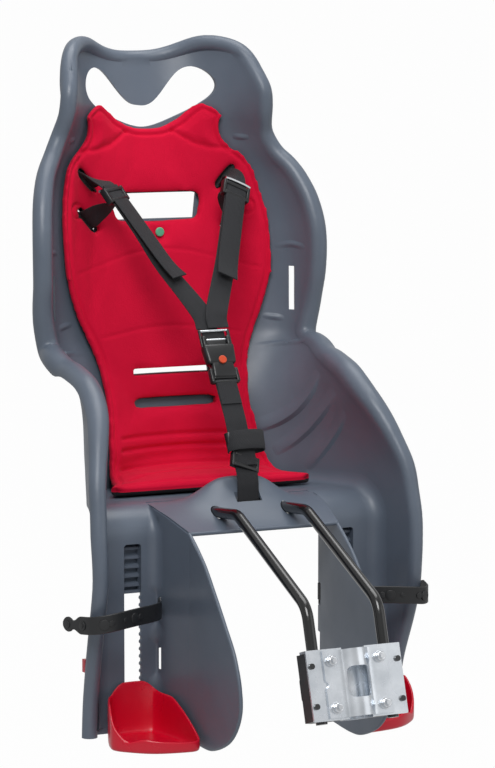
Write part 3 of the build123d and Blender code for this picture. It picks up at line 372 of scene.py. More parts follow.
def copy_of(node: str, name: str) -> Piece:
    """Copies a CAD node into a new piece with merged vertices, and stands it for the node.

    Args:
        node: the CAD node.
        name: the piece's name.

    Returns:
        The piece, riding on the node's body.
    """
    source = frame["nodes"][node]
    piece = bpy.data.objects.new(name, source.data.copy())
    bpy.context.scene.collection.objects.link(piece)
    pick(piece)
    if piece.data.has_custom_normals:
        bpy.ops.mesh.customdata_custom_splitnormals_clear()
    bpy.ops.object.mode_set(mode="EDIT")
    bpy.ops.mesh.select_all(action="SELECT")
    bpy.ops.mesh.remove_doubles(threshold=0.00002)
    bpy.ops.object.mode_set(mode="OBJECT")
    return stand_for(piece, node)


def stand_for(piece: Piece, *nodes: str) -> Piece:
    """Lets a piece replace CAD nodes of one body and ride on that body."""
    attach(piece, frame["nodes"][nodes[0]]["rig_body"])
    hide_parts(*nodes)
    return piece


def mesh_piece(name: str, points: Sequence[Sequence[float]], faces: Sequence[Sequence[int]]) -> Piece:
    """Makes a piece from points in millimetres and faces, with its faces turned outward.

    Args:
        name: the piece's name.
        points: the vertices.
        faces: their indices, face by face.

    Returns:
        The new piece.
    """
    data = bpy.data.meshes.new(name)
    data.from_pydata([tuple(c * MM for c in p) for p in points], [], faces)
    shape = bmesh.new()
    shape.from_mesh(data)
    bmesh.ops.recalc_face_normals(shape, faces=shape.faces)
    shape.to_mesh(data)
    shape.free()
    piece = bpy.data.objects.new(name, data)
    bpy.context.scene.collection.objects.link(piece)
    return piece


def loft(name: str, rings: Sequence[Sequence[Vector]], around: bool = False) -> Piece:
    """Lays a skin over closed rings of points.

    Args:
        name: the piece's name.
        rings: the rings, in millimetres, all of one length.
        around: joins the last ring to the first instead of closing both ends with a face.

    Returns:
        The new piece.
    """
    n = len(rings[0])
    points = [p for ring in rings for p in ring]
    faces = []
    for i in range(len(rings) - (0 if around else 1)):
        a = i * n
        b = (i + 1) % len(rings) * n
        faces += [(a + k, a + (k + 1) % n, b + (k + 1) % n, b + k) for k in range(n)]
    if not around:
        faces += [tuple(range(n)), tuple(range(len(points) - n, len(points)))]
    return mesh_piece(name, points, faces)


def strip(name: str, rows: Sequence[Sequence[Vector]]) -> Piece:
    """Lays an open skin over rows of points, in millimetres, all of one length."""
    n = len(rows[0])
    faces = []
    for a in range(0, n * (len(rows) - 1), n):
        faces += [(a + k, a + k + 1, a + n + k + 1, a + n + k) for k in range(n - 1)]
    return mesh_piece(name, [p for row in rows for p in row], faces)


def heading(rows: Sequence[Sequence[float]], i: int) -> Vector:
    """The unit direction of a path at one of its rows."""
    return (Vector(rows[min(i + 1, len(rows) - 1)][:3]) - Vector(rows[max(i - 1, 0)][:3])).normalized()


def square_to(run: Vector, way: Vector) -> Vector:
    """The part of a direction that is square to another, as a unit vector."""
    return (way - run * way.dot(run)).normalized()


def resample(points: Sequence[Sequence[float]], step: float) -> list[np.ndarray]:
    """Evenly spaced points of the smooth curve through some points.

    Args:
        points: the points, each with three values or more.
        step: about how far apart the new points are, measured on their first three values.

    Returns:
        The new points.
    """
    pts = [np.array(p, float) for p in points]
    last = len(pts) - 1
    dense = []
    for i in range(last):
        p0, p1, p2, p3 = pts[max(i - 1, 0)], pts[i], pts[i + 1], pts[min(i + 2, last)]
        for f in np.linspace(0, 1, 16, endpoint=False):
            dense.append(0.5 * (2 * p1 + (p2 - p0) * f + (2 * p0 - 5 * p1 + 4 * p2 - p3) * f**2
                                + (3 * p1 - p0 - 3 * p2 + p3) * f**3))
    dense = np.array(dense + [pts[-1]])
    run = np.concatenate([[0], np.cumsum(np.linalg.norm(np.diff(dense[:, :3], axis=0), axis=1))])
    wanted = np.linspace(0, run[-1], max(3, round(run[-1] / step) + 1))
    return [np.array([np.interp(v, run, dense[:, k]) for k in range(dense.shape[1])]) for v in wanted]


def ribbon(name: str, path: Sequence[Point], sides: Sequence[Point], width: float = 25.0, thick: float = 1.6,
           step: float = 3.0) -> Piece:
    """Models a flat strap along a path with a map in metres across and along it.

    Args:
        name: the piece's name.
        path: points of its middle, in millimetres.
        sides: the way of its width at each point.
        width: width in millimetres.
        thick: thickness in millimetres.
        step: spacing of its rows.

    Returns:
        The new piece.
    """
    rows = resample([(*p, *Vector(s).normalized()) for p, s in zip(path, sides)], step)
    half = width / 2
    flat = half - 0.6
    lower = [(-half, -0.25), (-flat, -0.5), (-half / 3, -0.54), (half / 3, -0.54), (flat, -0.5), (half, -0.25)]
    edge = lower + [(-u, -v) for u, v in lower]
    rings = []
    for i, row in enumerate(rows):
        run = heading(rows, i)
        side = square_to(run, Vector(row[3:6]))
        up = run.cross(side)
        rings.append([Vector(row[:3]) + side * u + up * (v * thick) for u, v in edge])
    piece = loft(name, rings)
    uv = piece.data.uv_layers.new(name="strap")
    across = [u for u, _ in edge]
    for loop in piece.data.loops:
        i, k = divmod(loop.vertex_index, len(edge))
        uv.data[loop.index].uv = (across[k] * MM, i * step * MM)
    return soften(piece, 40.0)


def tube(name: str, path: Sequence[Point], radius: float, around: int = 12, step: float = 2.0) -> Piece:
    """Models a round rod along a path given in millimetres."""
    rows = [Vector(p) for p in resample(path, step)]
    turns = [2 * math.pi * k / around for k in range(around)]
    rings = []
    side = heading(rows, 0).orthogonal()
    for i, p in enumerate(rows):
        run = heading(rows, i)
        side = square_to(run, side)
        up = run.cross(side)
        rings.append([p + side * (radius * math.cos(a)) + up * (radius * math.sin(a)) for a in turns])
    return soften(loft(name, rings), 50.0)


def axes(origin: Sequence[float], x: Sequence[float], z: Sequence[float]) -> Matrix:
    """Frame with an origin in millimetres, a way for x and one for z, as a matrix in metres."""
    ez = Vector(z).normalized()
    ex = square_to(ez, Vector(x))
    turn = Matrix((ex, ez.cross(ex), ez)).transposed().to_4x4()
    return Matrix.Translation(Vector(origin) * MM) @ turn


def settle(piece: Piece, place: Matrix) -> Piece:
    """Moves a piece's mesh into a frame, so that the object itself stays at the origin."""
    piece.data.transform(place)
    piece.matrix_world = Matrix.Identity(4)
    return piece


def slab(name: str, size: Point, at: Point = (0, 0, 0), round_mm: float = 0.8, narrow: float = 1.0) -> Piece:
    """Models a block with rounded edges.

    Args:
        name: the piece's name.
        size: its size in millimetres.
        at: its middle in millimetres.
        round_mm: radius of its edges.
        narrow: width of its lower end as a share of the upper.

    Returns:
        The new piece.
    """
    deselect()
    bpy.ops.mesh.primitive_cube_add(size=1.0)
    piece = bpy.context.object
    piece.name = name
    grown = Matrix.Diagonal((*(s * MM for s in size), 1.0))
    piece.data.transform(Matrix.Translation(Vector(at) * MM) @ grown)
    low = (at[2] - size[2] / 2 + 0.01) * MM
    for v in piece.data.vertices:
        if v.co.z < low:
            v.co.x = at[0] * MM + (v.co.x - at[0] * MM) * narrow
    bpy.ops.object.mode_set(mode="EDIT")
    bpy.ops.mesh.select_all(action="SELECT")
    bpy.ops.mesh.bevel(offset=round_mm * MM, segments=3, affect="EDGES")
    bpy.ops.object.mode_set(mode="OBJECT")
    return soften(piece, 40.0)


def disc(name: str, radius: float, tall: float, at: Point = (0, 0, 0), round_mm: float = 0.5, sides: int = 32,
         socket: float = 0.0) -> Piece:
    """Models a round or hexagonal head along z, if asked with a socket sunk into its top.

    Args:
        name: the piece's name.
        radius: its radius in millimetres.
        tall: its height in millimetres.
        at: the middle of its foot.
        round_mm: radius of its edges.
        sides: number of sides.
        socket: radius of the hexagonal socket, none at 0.

    Returns:
        The new piece.
    """
    deselect()
    bpy.ops.mesh.primitive_cylinder_add(vertices=sides, radius=radius * MM, depth=tall * MM)
    piece = bpy.context.object
    piece.name = name
    piece.data.transform(Matrix.Translation(Vector((at[0], at[1], at[2] + tall / 2)) * MM))
    piece.matrix_world = Matrix.Identity(4)
    bpy.ops.object.mode_set(mode="EDIT")
    bpy.ops.mesh.select_all(action="SELECT")
    bpy.ops.mesh.bevel(offset=round_mm * MM, segments=3, affect="EDGES", offset_type="OFFSET")
    bpy.ops.object.mode_set(mode="OBJECT")
    if socket:
        bpy.ops.mesh.primitive_cylinder_add(vertices=6, radius=socket * MM, depth=tall * MM)
        cut = bpy.context.object
        cut.data.transform(Matrix.Translation(Vector((at[0], at[1], at[2] + tall)) * MM))
        cut.matrix_world = Matrix.Identity(4)
        carve(piece, cut)
    return soften(piece, 35.0)


def joined(name: str, pieces: Sequence[Piece]) -> Piece:
    """Joins pieces into one. Each keeps its materials."""
    pick(pieces[0])
    for piece in pieces[1:]:
        piece.select_set(True)
    if len(pieces) > 1:
        bpy.ops.object.join()
    pieces[0].name = name
    return pieces[0]


def flipped(p: Sequence[float], side: int) -> Point:
    """The point or direction on the other side for side -1."""
    return (p[0] * side, p[1], p[2])


@dataclass
class Stage:
    """Floor, light and camera."""

    focal_px: float = 3400.0
    azimuth: float = -25.8
    elevation: float = 6.88
    distance: float = 3.3998
    target: Point = (-0.1139, 0.0128, 0.3129)
    sensor_mm: float = 36.0
    frame_px: int = 768
    floor_z: float = -0.36
    floor_glow: float = 0.98
    floor_shine: float = 0.4
    world_light: float = 0.23
    world_shine: float = 0.38
    aim: Point = (0.0, 0.3, 0.3)
    lamps: list = field(default_factory=lambda: [
        ("key", (-1.3, -2.1, 2.7), 1.7, 74.0),
        ("fill", (2.3, -1.9, 1.1), 2.2, 9.0),
        ("top", (0.3, 0.4, 2.6), 1.8, 34.0),
    ])

    def build(self) -> None:
        """Makes the floor, the lamps, the world and the camera."""
        self.lay_floor()
        for name, place, size, watts in self.lamps:
            deselect()
            bpy.ops.object.light_add(type="AREA", location=place)
            lamp = bpy.context.object
            lamp.name = name
            lamp.data.size = size
            lamp.data.energy = watts
            way = Vector(self.aim) - Vector(place)
            lamp.rotation_euler = way.to_track_quat("-Z", "Y").to_euler()
        self.light_world()
        self.set_camera()

    def lay_floor(self) -> None:
        """Lays a pale floor that looks near white and still takes a shadow."""
        deselect()
        bpy.ops.mesh.primitive_plane_add(size=500.0, location=(0, 0, self.floor_z))
        floor = bpy.context.object
        floor.name = "floor"
        made = bpy.data.materials.new("pale_floor")
        made.use_nodes = True
        tree = made.node_tree
        shader = tree.nodes["Principled BSDF"]
        shader.inputs["Base Color"].default_value = linear("c4c4c4")
        shader.inputs["Roughness"].default_value = 0.9
        share = add_node(tree, "Math", {"operation": "MULTIPLY", 1: self.floor_glow},
                         {0: seen_share(tree, self.floor_shine)})
        glow = add_node(tree, "Emission", {"Color": (1, 1, 1, 1), "Strength": 1.0})
        mix = add_node(tree, "MixShader",
                       links={0: share.outputs[0], 1: shader.outputs[0], 2: glow.outputs[0]})
        tree.links.new(mix.outputs[0], tree.nodes["Material Output"].inputs[0])
        floor.data.materials.append(made)

    def light_world(self) -> None:
        """Sets an even white world, white to the camera and dimmer as a light."""
        world = bpy.data.worlds.new("studio")
        bpy.context.scene.world = world
        world.use_nodes = True
        tree = world.node_tree
        level = add_node(tree, "MapRange", {"To Min": self.world_light, "To Max": 1.0},
                         {"Value": seen_share(tree, self.world_shine)})
        back = tree.nodes["Background"]
        back.inputs["Color"].default_value = (1, 1, 1, 1)
        tree.links.new(level.outputs[0], back.inputs["Strength"])

    def set_camera(self) -> None:
        """Sets the camera fitted to the photograph's frame of 495 by 768."""
        a = math.radians(self.azimuth)
        e = math.radians(self.elevation)
        away = Vector((math.sin(a) * math.cos(e), -math.cos(a) * math.cos(e), math.sin(e)))
        data = bpy.data.cameras.new("camera")
        data.sensor_width = self.sensor_mm
        data.lens = self.sensor_mm * self.focal_px / self.frame_px
        data.clip_end = 600.0
        camera = bpy.data.objects.new("camera", data)
        bpy.context.scene.collection.objects.link(camera)
        camera.location = Vector(self.target) + away * self.distance
        camera.rotation_euler = (-away).to_track_quat("-Z", "Y").to_euler()
        bpy.context.scene.camera = camera
        bpy.context.scene.view_settings.view_transform = "Standard"


@dataclass
class SeatShell:
    """The moulded shell: the frame's solid with soft inner corners, rounded edges and raised lines added."""

    node: str = "seat_shell"
    lobe: tuple = ((209, 130.5), (173, 104), (146, 75.5), (119.5, 45), (95.5, 14.5), (82, -25), (88, -52),
                   (110, -75), (146, -90), (174, -92.5), (215, -89))
    lobe_x: float = 88.0
    lobe_r: float = 2.05
    # Points near the surface on the child's left, which the raised strips are then laid on
    hip_steps: tuple = (
        ((143, 363, 276), (138, 372, 255), (130, 385, 237), (118, 399, 223), (103, 412, 214),
         (90, 421, 210)),
        ((147, 329, 258), (144, 350, 237), (137, 367, 218), (128, 381, 203), (117, 392, 192), (106, 402, 184)),
        ((151, 316, 237), (151, 330, 218), (148, 341, 204), (141, 353, 188), (130, 369, 167)))
    wing_lines: tuple = (
        ((105, 450, 298), (127, 439, 300), (142, 425, 302), (151, 402, 306)),
        ((134, 453, 411), (146, 440, 414), (152, 430, 413), (156, 420, 411)),
        ((118, 454, 332), (126, 450, 331), (134, 446, 330), (140, 441, 329)),
        ((97, 489, 535), (106, 481, 535), (111, 475, 535)))
    step_half: float = 11.0
    step_tall: float = 5.0
    step_less: float = 0.8
    line_half: float = 5.0
    line_tall: float = 1.6
    scallops: int = 16
    scallop_at: Point = (117.5, 269.9, 54.0)
    scallop_pitch: float = 8.0
    # A leg panel: its front face, its ends, the bend at its top and the blends at its two walls
    panel_y: float = 266.0
    panel_z: tuple = (-84.0, 118.0)
    bend_r: float = 34.0
    outer_blend: float = 15.0
    inner_blend: float = 12.0
    slit_z: tuple = (42.0, -13.0)

    def build(self) -> Piece:
        """Builds the shell."""
        piece = copy_of(self.node, "shell")
        data = piece.data
        skin = BVHTree.FromPolygons([v.co / MM for v in data.vertices],
                                    [tuple(p.vertices) for p in data.polygons])
        extra = []
        for side in (1, -1):
            extra.append(self.corner(skin, side, 1))
            extra.append(self.corner(skin, side, -1))
            for k, line in enumerate(self.hip_steps):
                tall = self.step_tall - self.step_less * k
                extra.append(self.ridge(skin, [flipped(p, side) for p in line], self.step_half, tall, True))
            for line in self.wing_lines:
                extra.append(self.ridge(skin, [flipped(p, side) for p in line], self.line_half, self.line_tall))
            extra.append(tube("lobe_edge", [(self.lobe_x * side, y, z) for y, z in self.lobe], self.lobe_r))
            x, y, z = flipped(self.scallop_at, side)
            for k in range(self.scallops):
                bump = disc("scallop", 2.6, 3.8, (0, 0, 0), 0.3, 20)
                extra.append(settle(bump, axes((x, y, z - self.scallop_pitch * k), (1, 0, 0), (0, -1, 0))))
        front = [(self.lobe_x * share, 207.2, 129.6) for share in (-1, -0.5, 0, 0.5, 1)]
        extra.append(tube("deck_edge", front, 2.3))
        piece = joined("shell", [piece] + extra)
        return put_on(soften(piece, 32.0), SHELL)

    def stations(self, outer: bool) -> list[tuple[float, float, float, float, float]]:
        """Lists the stations of a leg panel's corner.

        Args:
            outer: whether it is the corner at the outer wall.

        Returns:
            For each y and z, the panel's way out in y and z, and the size of the blend.
        """
        rows = []
        low, high = self.panel_z
        for k in range(51):
            z = low + (high - low) * k / 50
            size = self.outer_blend
            if not outer:
                near = min(abs(z - at) for at in self.slit_z)
                size = 3.0 + (self.inner_blend - 3.0) * min(1.0, max(0.0, (near - 15.0) / 7.0))
            rows.append((self.panel_y, z, -1.0, 0.0, size))
        back = self.panel_y + self.bend_r
        for k in range(1, 13 if outer else 10):
            a = math.radians(90 - 7.5 * k)
            size = self.outer_blend if outer else self.inner_blend * (1 - k / 10) + 1.0
            y = back - self.bend_r * math.sin(a)
            rows.append((y, high + self.bend_r * math.cos(a), -math.sin(a), math.cos(a), size))
        if outer:
            top = high + self.bend_r
            rows += [(back + 6.0 * k, top, 0.0, 1.0, self.outer_blend) for k in range(1, 12)]
        return rows

    def corner(self, skin: BVHTree, side: int, way: int) -> Piece:
        """Rounds the inner corner between a leg panel and a wall.

        Args:
            skin: the shell's surface in millimetres.
            side: 1 or -1 for the side of the seat.
            way: 1 for the outer wall, -1 for the inner one.

        Returns:
            A strip that is tangent to both surfaces.
        """
        rows = []
        for y, z, ny, nz, size in self.stations(way > 0):
            n = Vector((0, ny, nz))
            start = Vector((side * 114.0, y, z)) + n * 0.6
            hit, normal, _, _ = skin.ray_cast(start, Vector((side * way, 0, 0)))
            if hit is None:
                continue
            at = Vector((hit.x, y, z))
            if normal.x * side * way > 0:
                normal = -normal
            up = square_to(normal, n)
            a = at - Vector((side * way * size, 0, 0)) + n * 0.05
            b = at + up * size + normal * 0.05
            shares = [k / 8 for k in range(9)]
            rows.append([a * (1 - f) ** 2 + at * (2 * f * (1 - f)) + b * f ** 2 for f in shares])
        blend = strip("corner", rows)
        half_way_up = blend.data.polygons[25 * 8]
        if half_way_up.normal.y - half_way_up.normal.z > 0:
            blend.data.flip_normals()
        return blend

    @staticmethod
    def ridge(skin: BVHTree, line: Sequence[Point], half: float, tall: float, step: bool = False) -> Piece:
        """Raises a soft line on the shell's surface.

        Args:
            skin: the surface in millimetres.
            line: points on or near it.
            half: half the line's width.
            tall: its height.
            step: whether its lower side is steep, like a step.

        Returns:
            A strip whose edges lie under the surface.
        """
        path = [Vector(p) for p in resample(line, 3.0)]
        rows = []
        for i, p in enumerate(path):
            run = heading(path, i)
            _, normal, _, _ = skin.find_nearest(p)
            if normal.y > 0:
                normal = -normal
            over = normal.cross(run).normalized()
            if over.z > 0:
                over = -over
            fade = max(0.0, math.sin(math.pi * i / (len(path) - 1))) ** (1.0 if step else 1.3)
            row = []
            for k in range(13):
                u = k / 6 - 1
                rise = math.pi * u
                if step:
                    rise = math.pi * ((u - 0.5) / 1.5 if u < 0.5 else min(1.0, (u - 0.5) / 0.33))
                spot = skin.find_nearest(p + over * (u * half))[0]
                row.append(spot + normal * (fade * tall * (0.5 + 0.5 * math.cos(rise)) - 0.12 * abs(u)))
            rows.append(row)
        made = strip("ridge", rows)
        if made.data.polygons[len(made.data.polygons) // 2].normal.y > 0:
            made.data.flip_normals()
        return made


@dataclass
class SeatPad:
    """The pad: a foam-backed knit, hot pressed with a border, folds and quilting."""

    node: str = "seat_pad"
    voxel_mm: float = 3.3
    pressure: float = 4.0
    puff_mm: float = 5.0
    vents: tuple = (276.0, 241.0)
    vent_size: Point = (100.0, 140.0, 8.0)
    rivet_z: float = 430.0
    front_corner: Point = (101.0, 357.0, 26.0)
    # Faces of the seat part lower than this height and further forward than the next value are coloured black:
    # painted shade under the pad's overhanging front edge
    shade_band_z: float = 158.5
    shade_band_y: float = 352.0
    ear_line: tuple = ((30.0, 543.0), (40.0, 536.0), (52.0, 529.0), (70.0, 524.0), (90.0, 523.0))
    # Pressed lines, each with its depth and width, and where it has one its place before them
    border_mm: float = 8.0
    border: tuple = (2.0, 2.0)
    dimple: tuple = (6.5, 11.0)
    bend_z: float = 186.0
    back_folds: tuple = ((206.0, 2.4, 2.4), (193.0, 3.0, 2.6))
    bend_fold: tuple = (594.0, 3.0, 3.4)
    front_fold: tuple = (388.0, 2.2, 2.6)
    quilting: tuple = ((398.0, 14.0), (318.0, 8.0))
    quilt: tuple = (0.7, 2.4)
    ear_groove: tuple = (2.3, 2.2)
    ear_rise: float = 1.6

    def build(self) -> Piece:
        """Builds the pad."""
        piece = copy_of(self.node, "pad")
        rim = self.rim_of(piece)
        modify(piece, "REMESH", mode="VOXEL", voxel_size=self.voxel_mm * MM)
        self.puff(piece)
        modify(piece, "SMOOTH", factor=0.5, iterations=14)
        self.round_corners(piece)
        modify(piece, "SUBSURF", levels=1)
        self.press(piece, rim)
        for z in self.vents:
            carve(piece, slab("cut", self.vent_size, (0, 450, z), 2.0))
        put_on(piece, PAD)
        piece.data.materials.append(UNDER.material())
        for face in piece.data.polygons:
            # Faces turned down or back get the black backing; the low band of the seat part's front and side
            # edges is coloured black too, as painted shade where the edge overhangs the pan
            low = face.center.z < self.shade_band_z * MM and face.center.y < self.shade_band_y * MM
            if face.normal.z - face.normal.y < -0.25 or low:
                face.material_index = 1
        pick(piece)
        bpy.ops.object.shade_smooth()
        return piece

    def round_corners(self, piece: Piece) -> None:
        """Rounds the two front corners of the part that lies on the pan."""
        x0, y0, r = (v * MM for v in self.front_corner)
        for v in piece.data.vertices:
            out = Vector((abs(v.co.x) - x0, v.co.y - y0))
            if out.x > 0 and out.y < 0 and out.length > r:
                out *= r / out.length
                v.co.x = math.copysign(x0 + out.x, v.co.x)
                v.co.y = y0 + out.y
        piece.data.update()

    @staticmethod
    def rim_of(piece: Piece) -> KDTree:
        """Collects points along the solid's sharp edges, in millimetres."""
        shape = bmesh.new()
        shape.from_mesh(piece.data)
        spots = []
        for edge in shape.edges:
            if len(edge.link_faces) == 2 and edge.calc_face_angle() > math.radians(50):
                a, b = (v.co / MM for v in edge.verts)
                x, z = abs(a.x + b.x) / 2, (a.z + b.z) / 2
                if (420 < z < 520 and x < 104) or (228 < z < 290 and x < 60):
                    continue
                steps = max(1, round((b - a).length / 2))
                spots += [a.lerp(b, k / steps) for k in range(steps + 1)]
        shape.free()
        tree = KDTree(len(spots))
        for i, spot in enumerate(spots):
            tree.insert(spot, i)
        tree.balance()
        return tree

    def puff(self, piece: Piece) -> None:
        """Blows the cover up a little by a cloth simulation, no point by more than puff_mm."""
        held = piece.vertex_groups.new(name="held")
        held.add([v.index for v in piece.data.vertices if v.normal.z - v.normal.y < 0.1], 1.0, "REPLACE")
        cloth = piece.modifiers.new("Cloth", "CLOTH")
        cloth.settings.use_pressure = True
        cloth.settings.uniform_pressure_force = self.pressure
        cloth.settings.vertex_group_mass = "held"
        cloth.settings.effector_weights.gravity = 0.0
        cloth.settings.quality = 4
        cloth.point_cache.frame_start = 1
        cloth.point_cache.frame_end = 20
        scene = bpy.context.scene
        for at in range(1, 21):
            scene.frame_set(at)
        seen = piece.evaluated_get(bpy.context.evaluated_depsgraph_get()).to_mesh()
        n = len(piece.data.vertices)
        moved = np.empty(3 * n)
        seen.vertices.foreach_get("co", moved)
        rest = np.empty(3 * n)
        piece.data.vertices.foreach_get("co", rest)
        step = (moved - rest).reshape(-1, 3)
        far = np.linalg.norm(step, axis=1, keepdims=True)
        step *= np.minimum(1.0, self.puff_mm * MM / np.maximum(far, 1e-9))
        piece.modifiers.remove(cloth)
        piece.vertex_groups.remove(held)
        scene.frame_set(1)
        piece.data.vertices.foreach_set("co", (rest.reshape(-1, 3) + step).ravel())
        piece.data.update()

    def depth(self, p: Vector, away: float) -> float:
        """How deep the cover is pressed in at a point of the front, in millimetres.

        Args:
            p: the point in millimetres.
            away: its distance from the nearest edge of the pad.

        Returns:
            The depth, negative where it is raised.
        """
        def line(away_from: float, deep_mm: float, wide: float) -> float:
            """Depth at a distance from the middle of a pressed line."""
            return deep_mm * math.exp(-(away_from / wide) ** 2)

        x, y, z = abs(p.x), p.y + 29.0 * (p.x / 92.0) ** 2, p.z
        deep = line(away - self.border_mm, *self.border)
        deep += line(math.hypot(p.x, z - self.rivet_z), *self.dimple)
        inside = min(1.0, max(0.0, (away - 12.0) / 6.0))
        if z > self.bend_z:
            for at, *size in self.back_folds:
                deep += line(z - at, *size) * inside
            for at, bow in self.quilting:
                deep += line(z - at - bow * math.cos(math.pi * x / 150.0), *self.quilt) * inside
        else:
            deep += line(y + z - self.bend_fold[0], *self.bend_fold[1:]) * inside
            deep += line(y - self.front_fold[0], *self.front_fold[1:]) * inside
        if z > 515 and x > 26:
            above = z - float(np.interp(x, *zip(*self.ear_line)))
            rise = self.ear_rise * min(1.0, max(0.0, (above - 3.0) / 6.0)) * inside
            deep += line(above * 0.85, *self.ear_groove) - rise
        return deep

    def press(self, piece: Piece, rim: KDTree) -> None:
        """Presses border, folds, quilting and the ears' triangles into the front of the pad."""
        normals = [v.normal.copy() for v in piece.data.vertices]
        for v, n in zip(piece.data.vertices, normals):
            front = min(1.0, max(0.0, (n.z - n.y - 0.3) / 0.4))
            if front:
                at = v.co / MM
                v.co -= n * (front * self.depth(at, rim.find(at)[2]) * MM)
        piece.data.update()


class Side(Enum):
    """The two sides, named from the child's view."""

    LEFT = 1
    RIGHT = -1

    @property
    def label(self) -> str:
        """The side as it ends the frame's node names."""
        return self.name.lower()


# Ways of a shoulder strap's width: in the slits of the shell, just out of them, and down the chest
IN_SLIT: Point = (0.67, 0.0, 0.74)
OUT_OF_SLIT: Point = (0.88, -0.01, 0.47)
ON_CHEST: Point = (0.92, -0.03, -0.40)


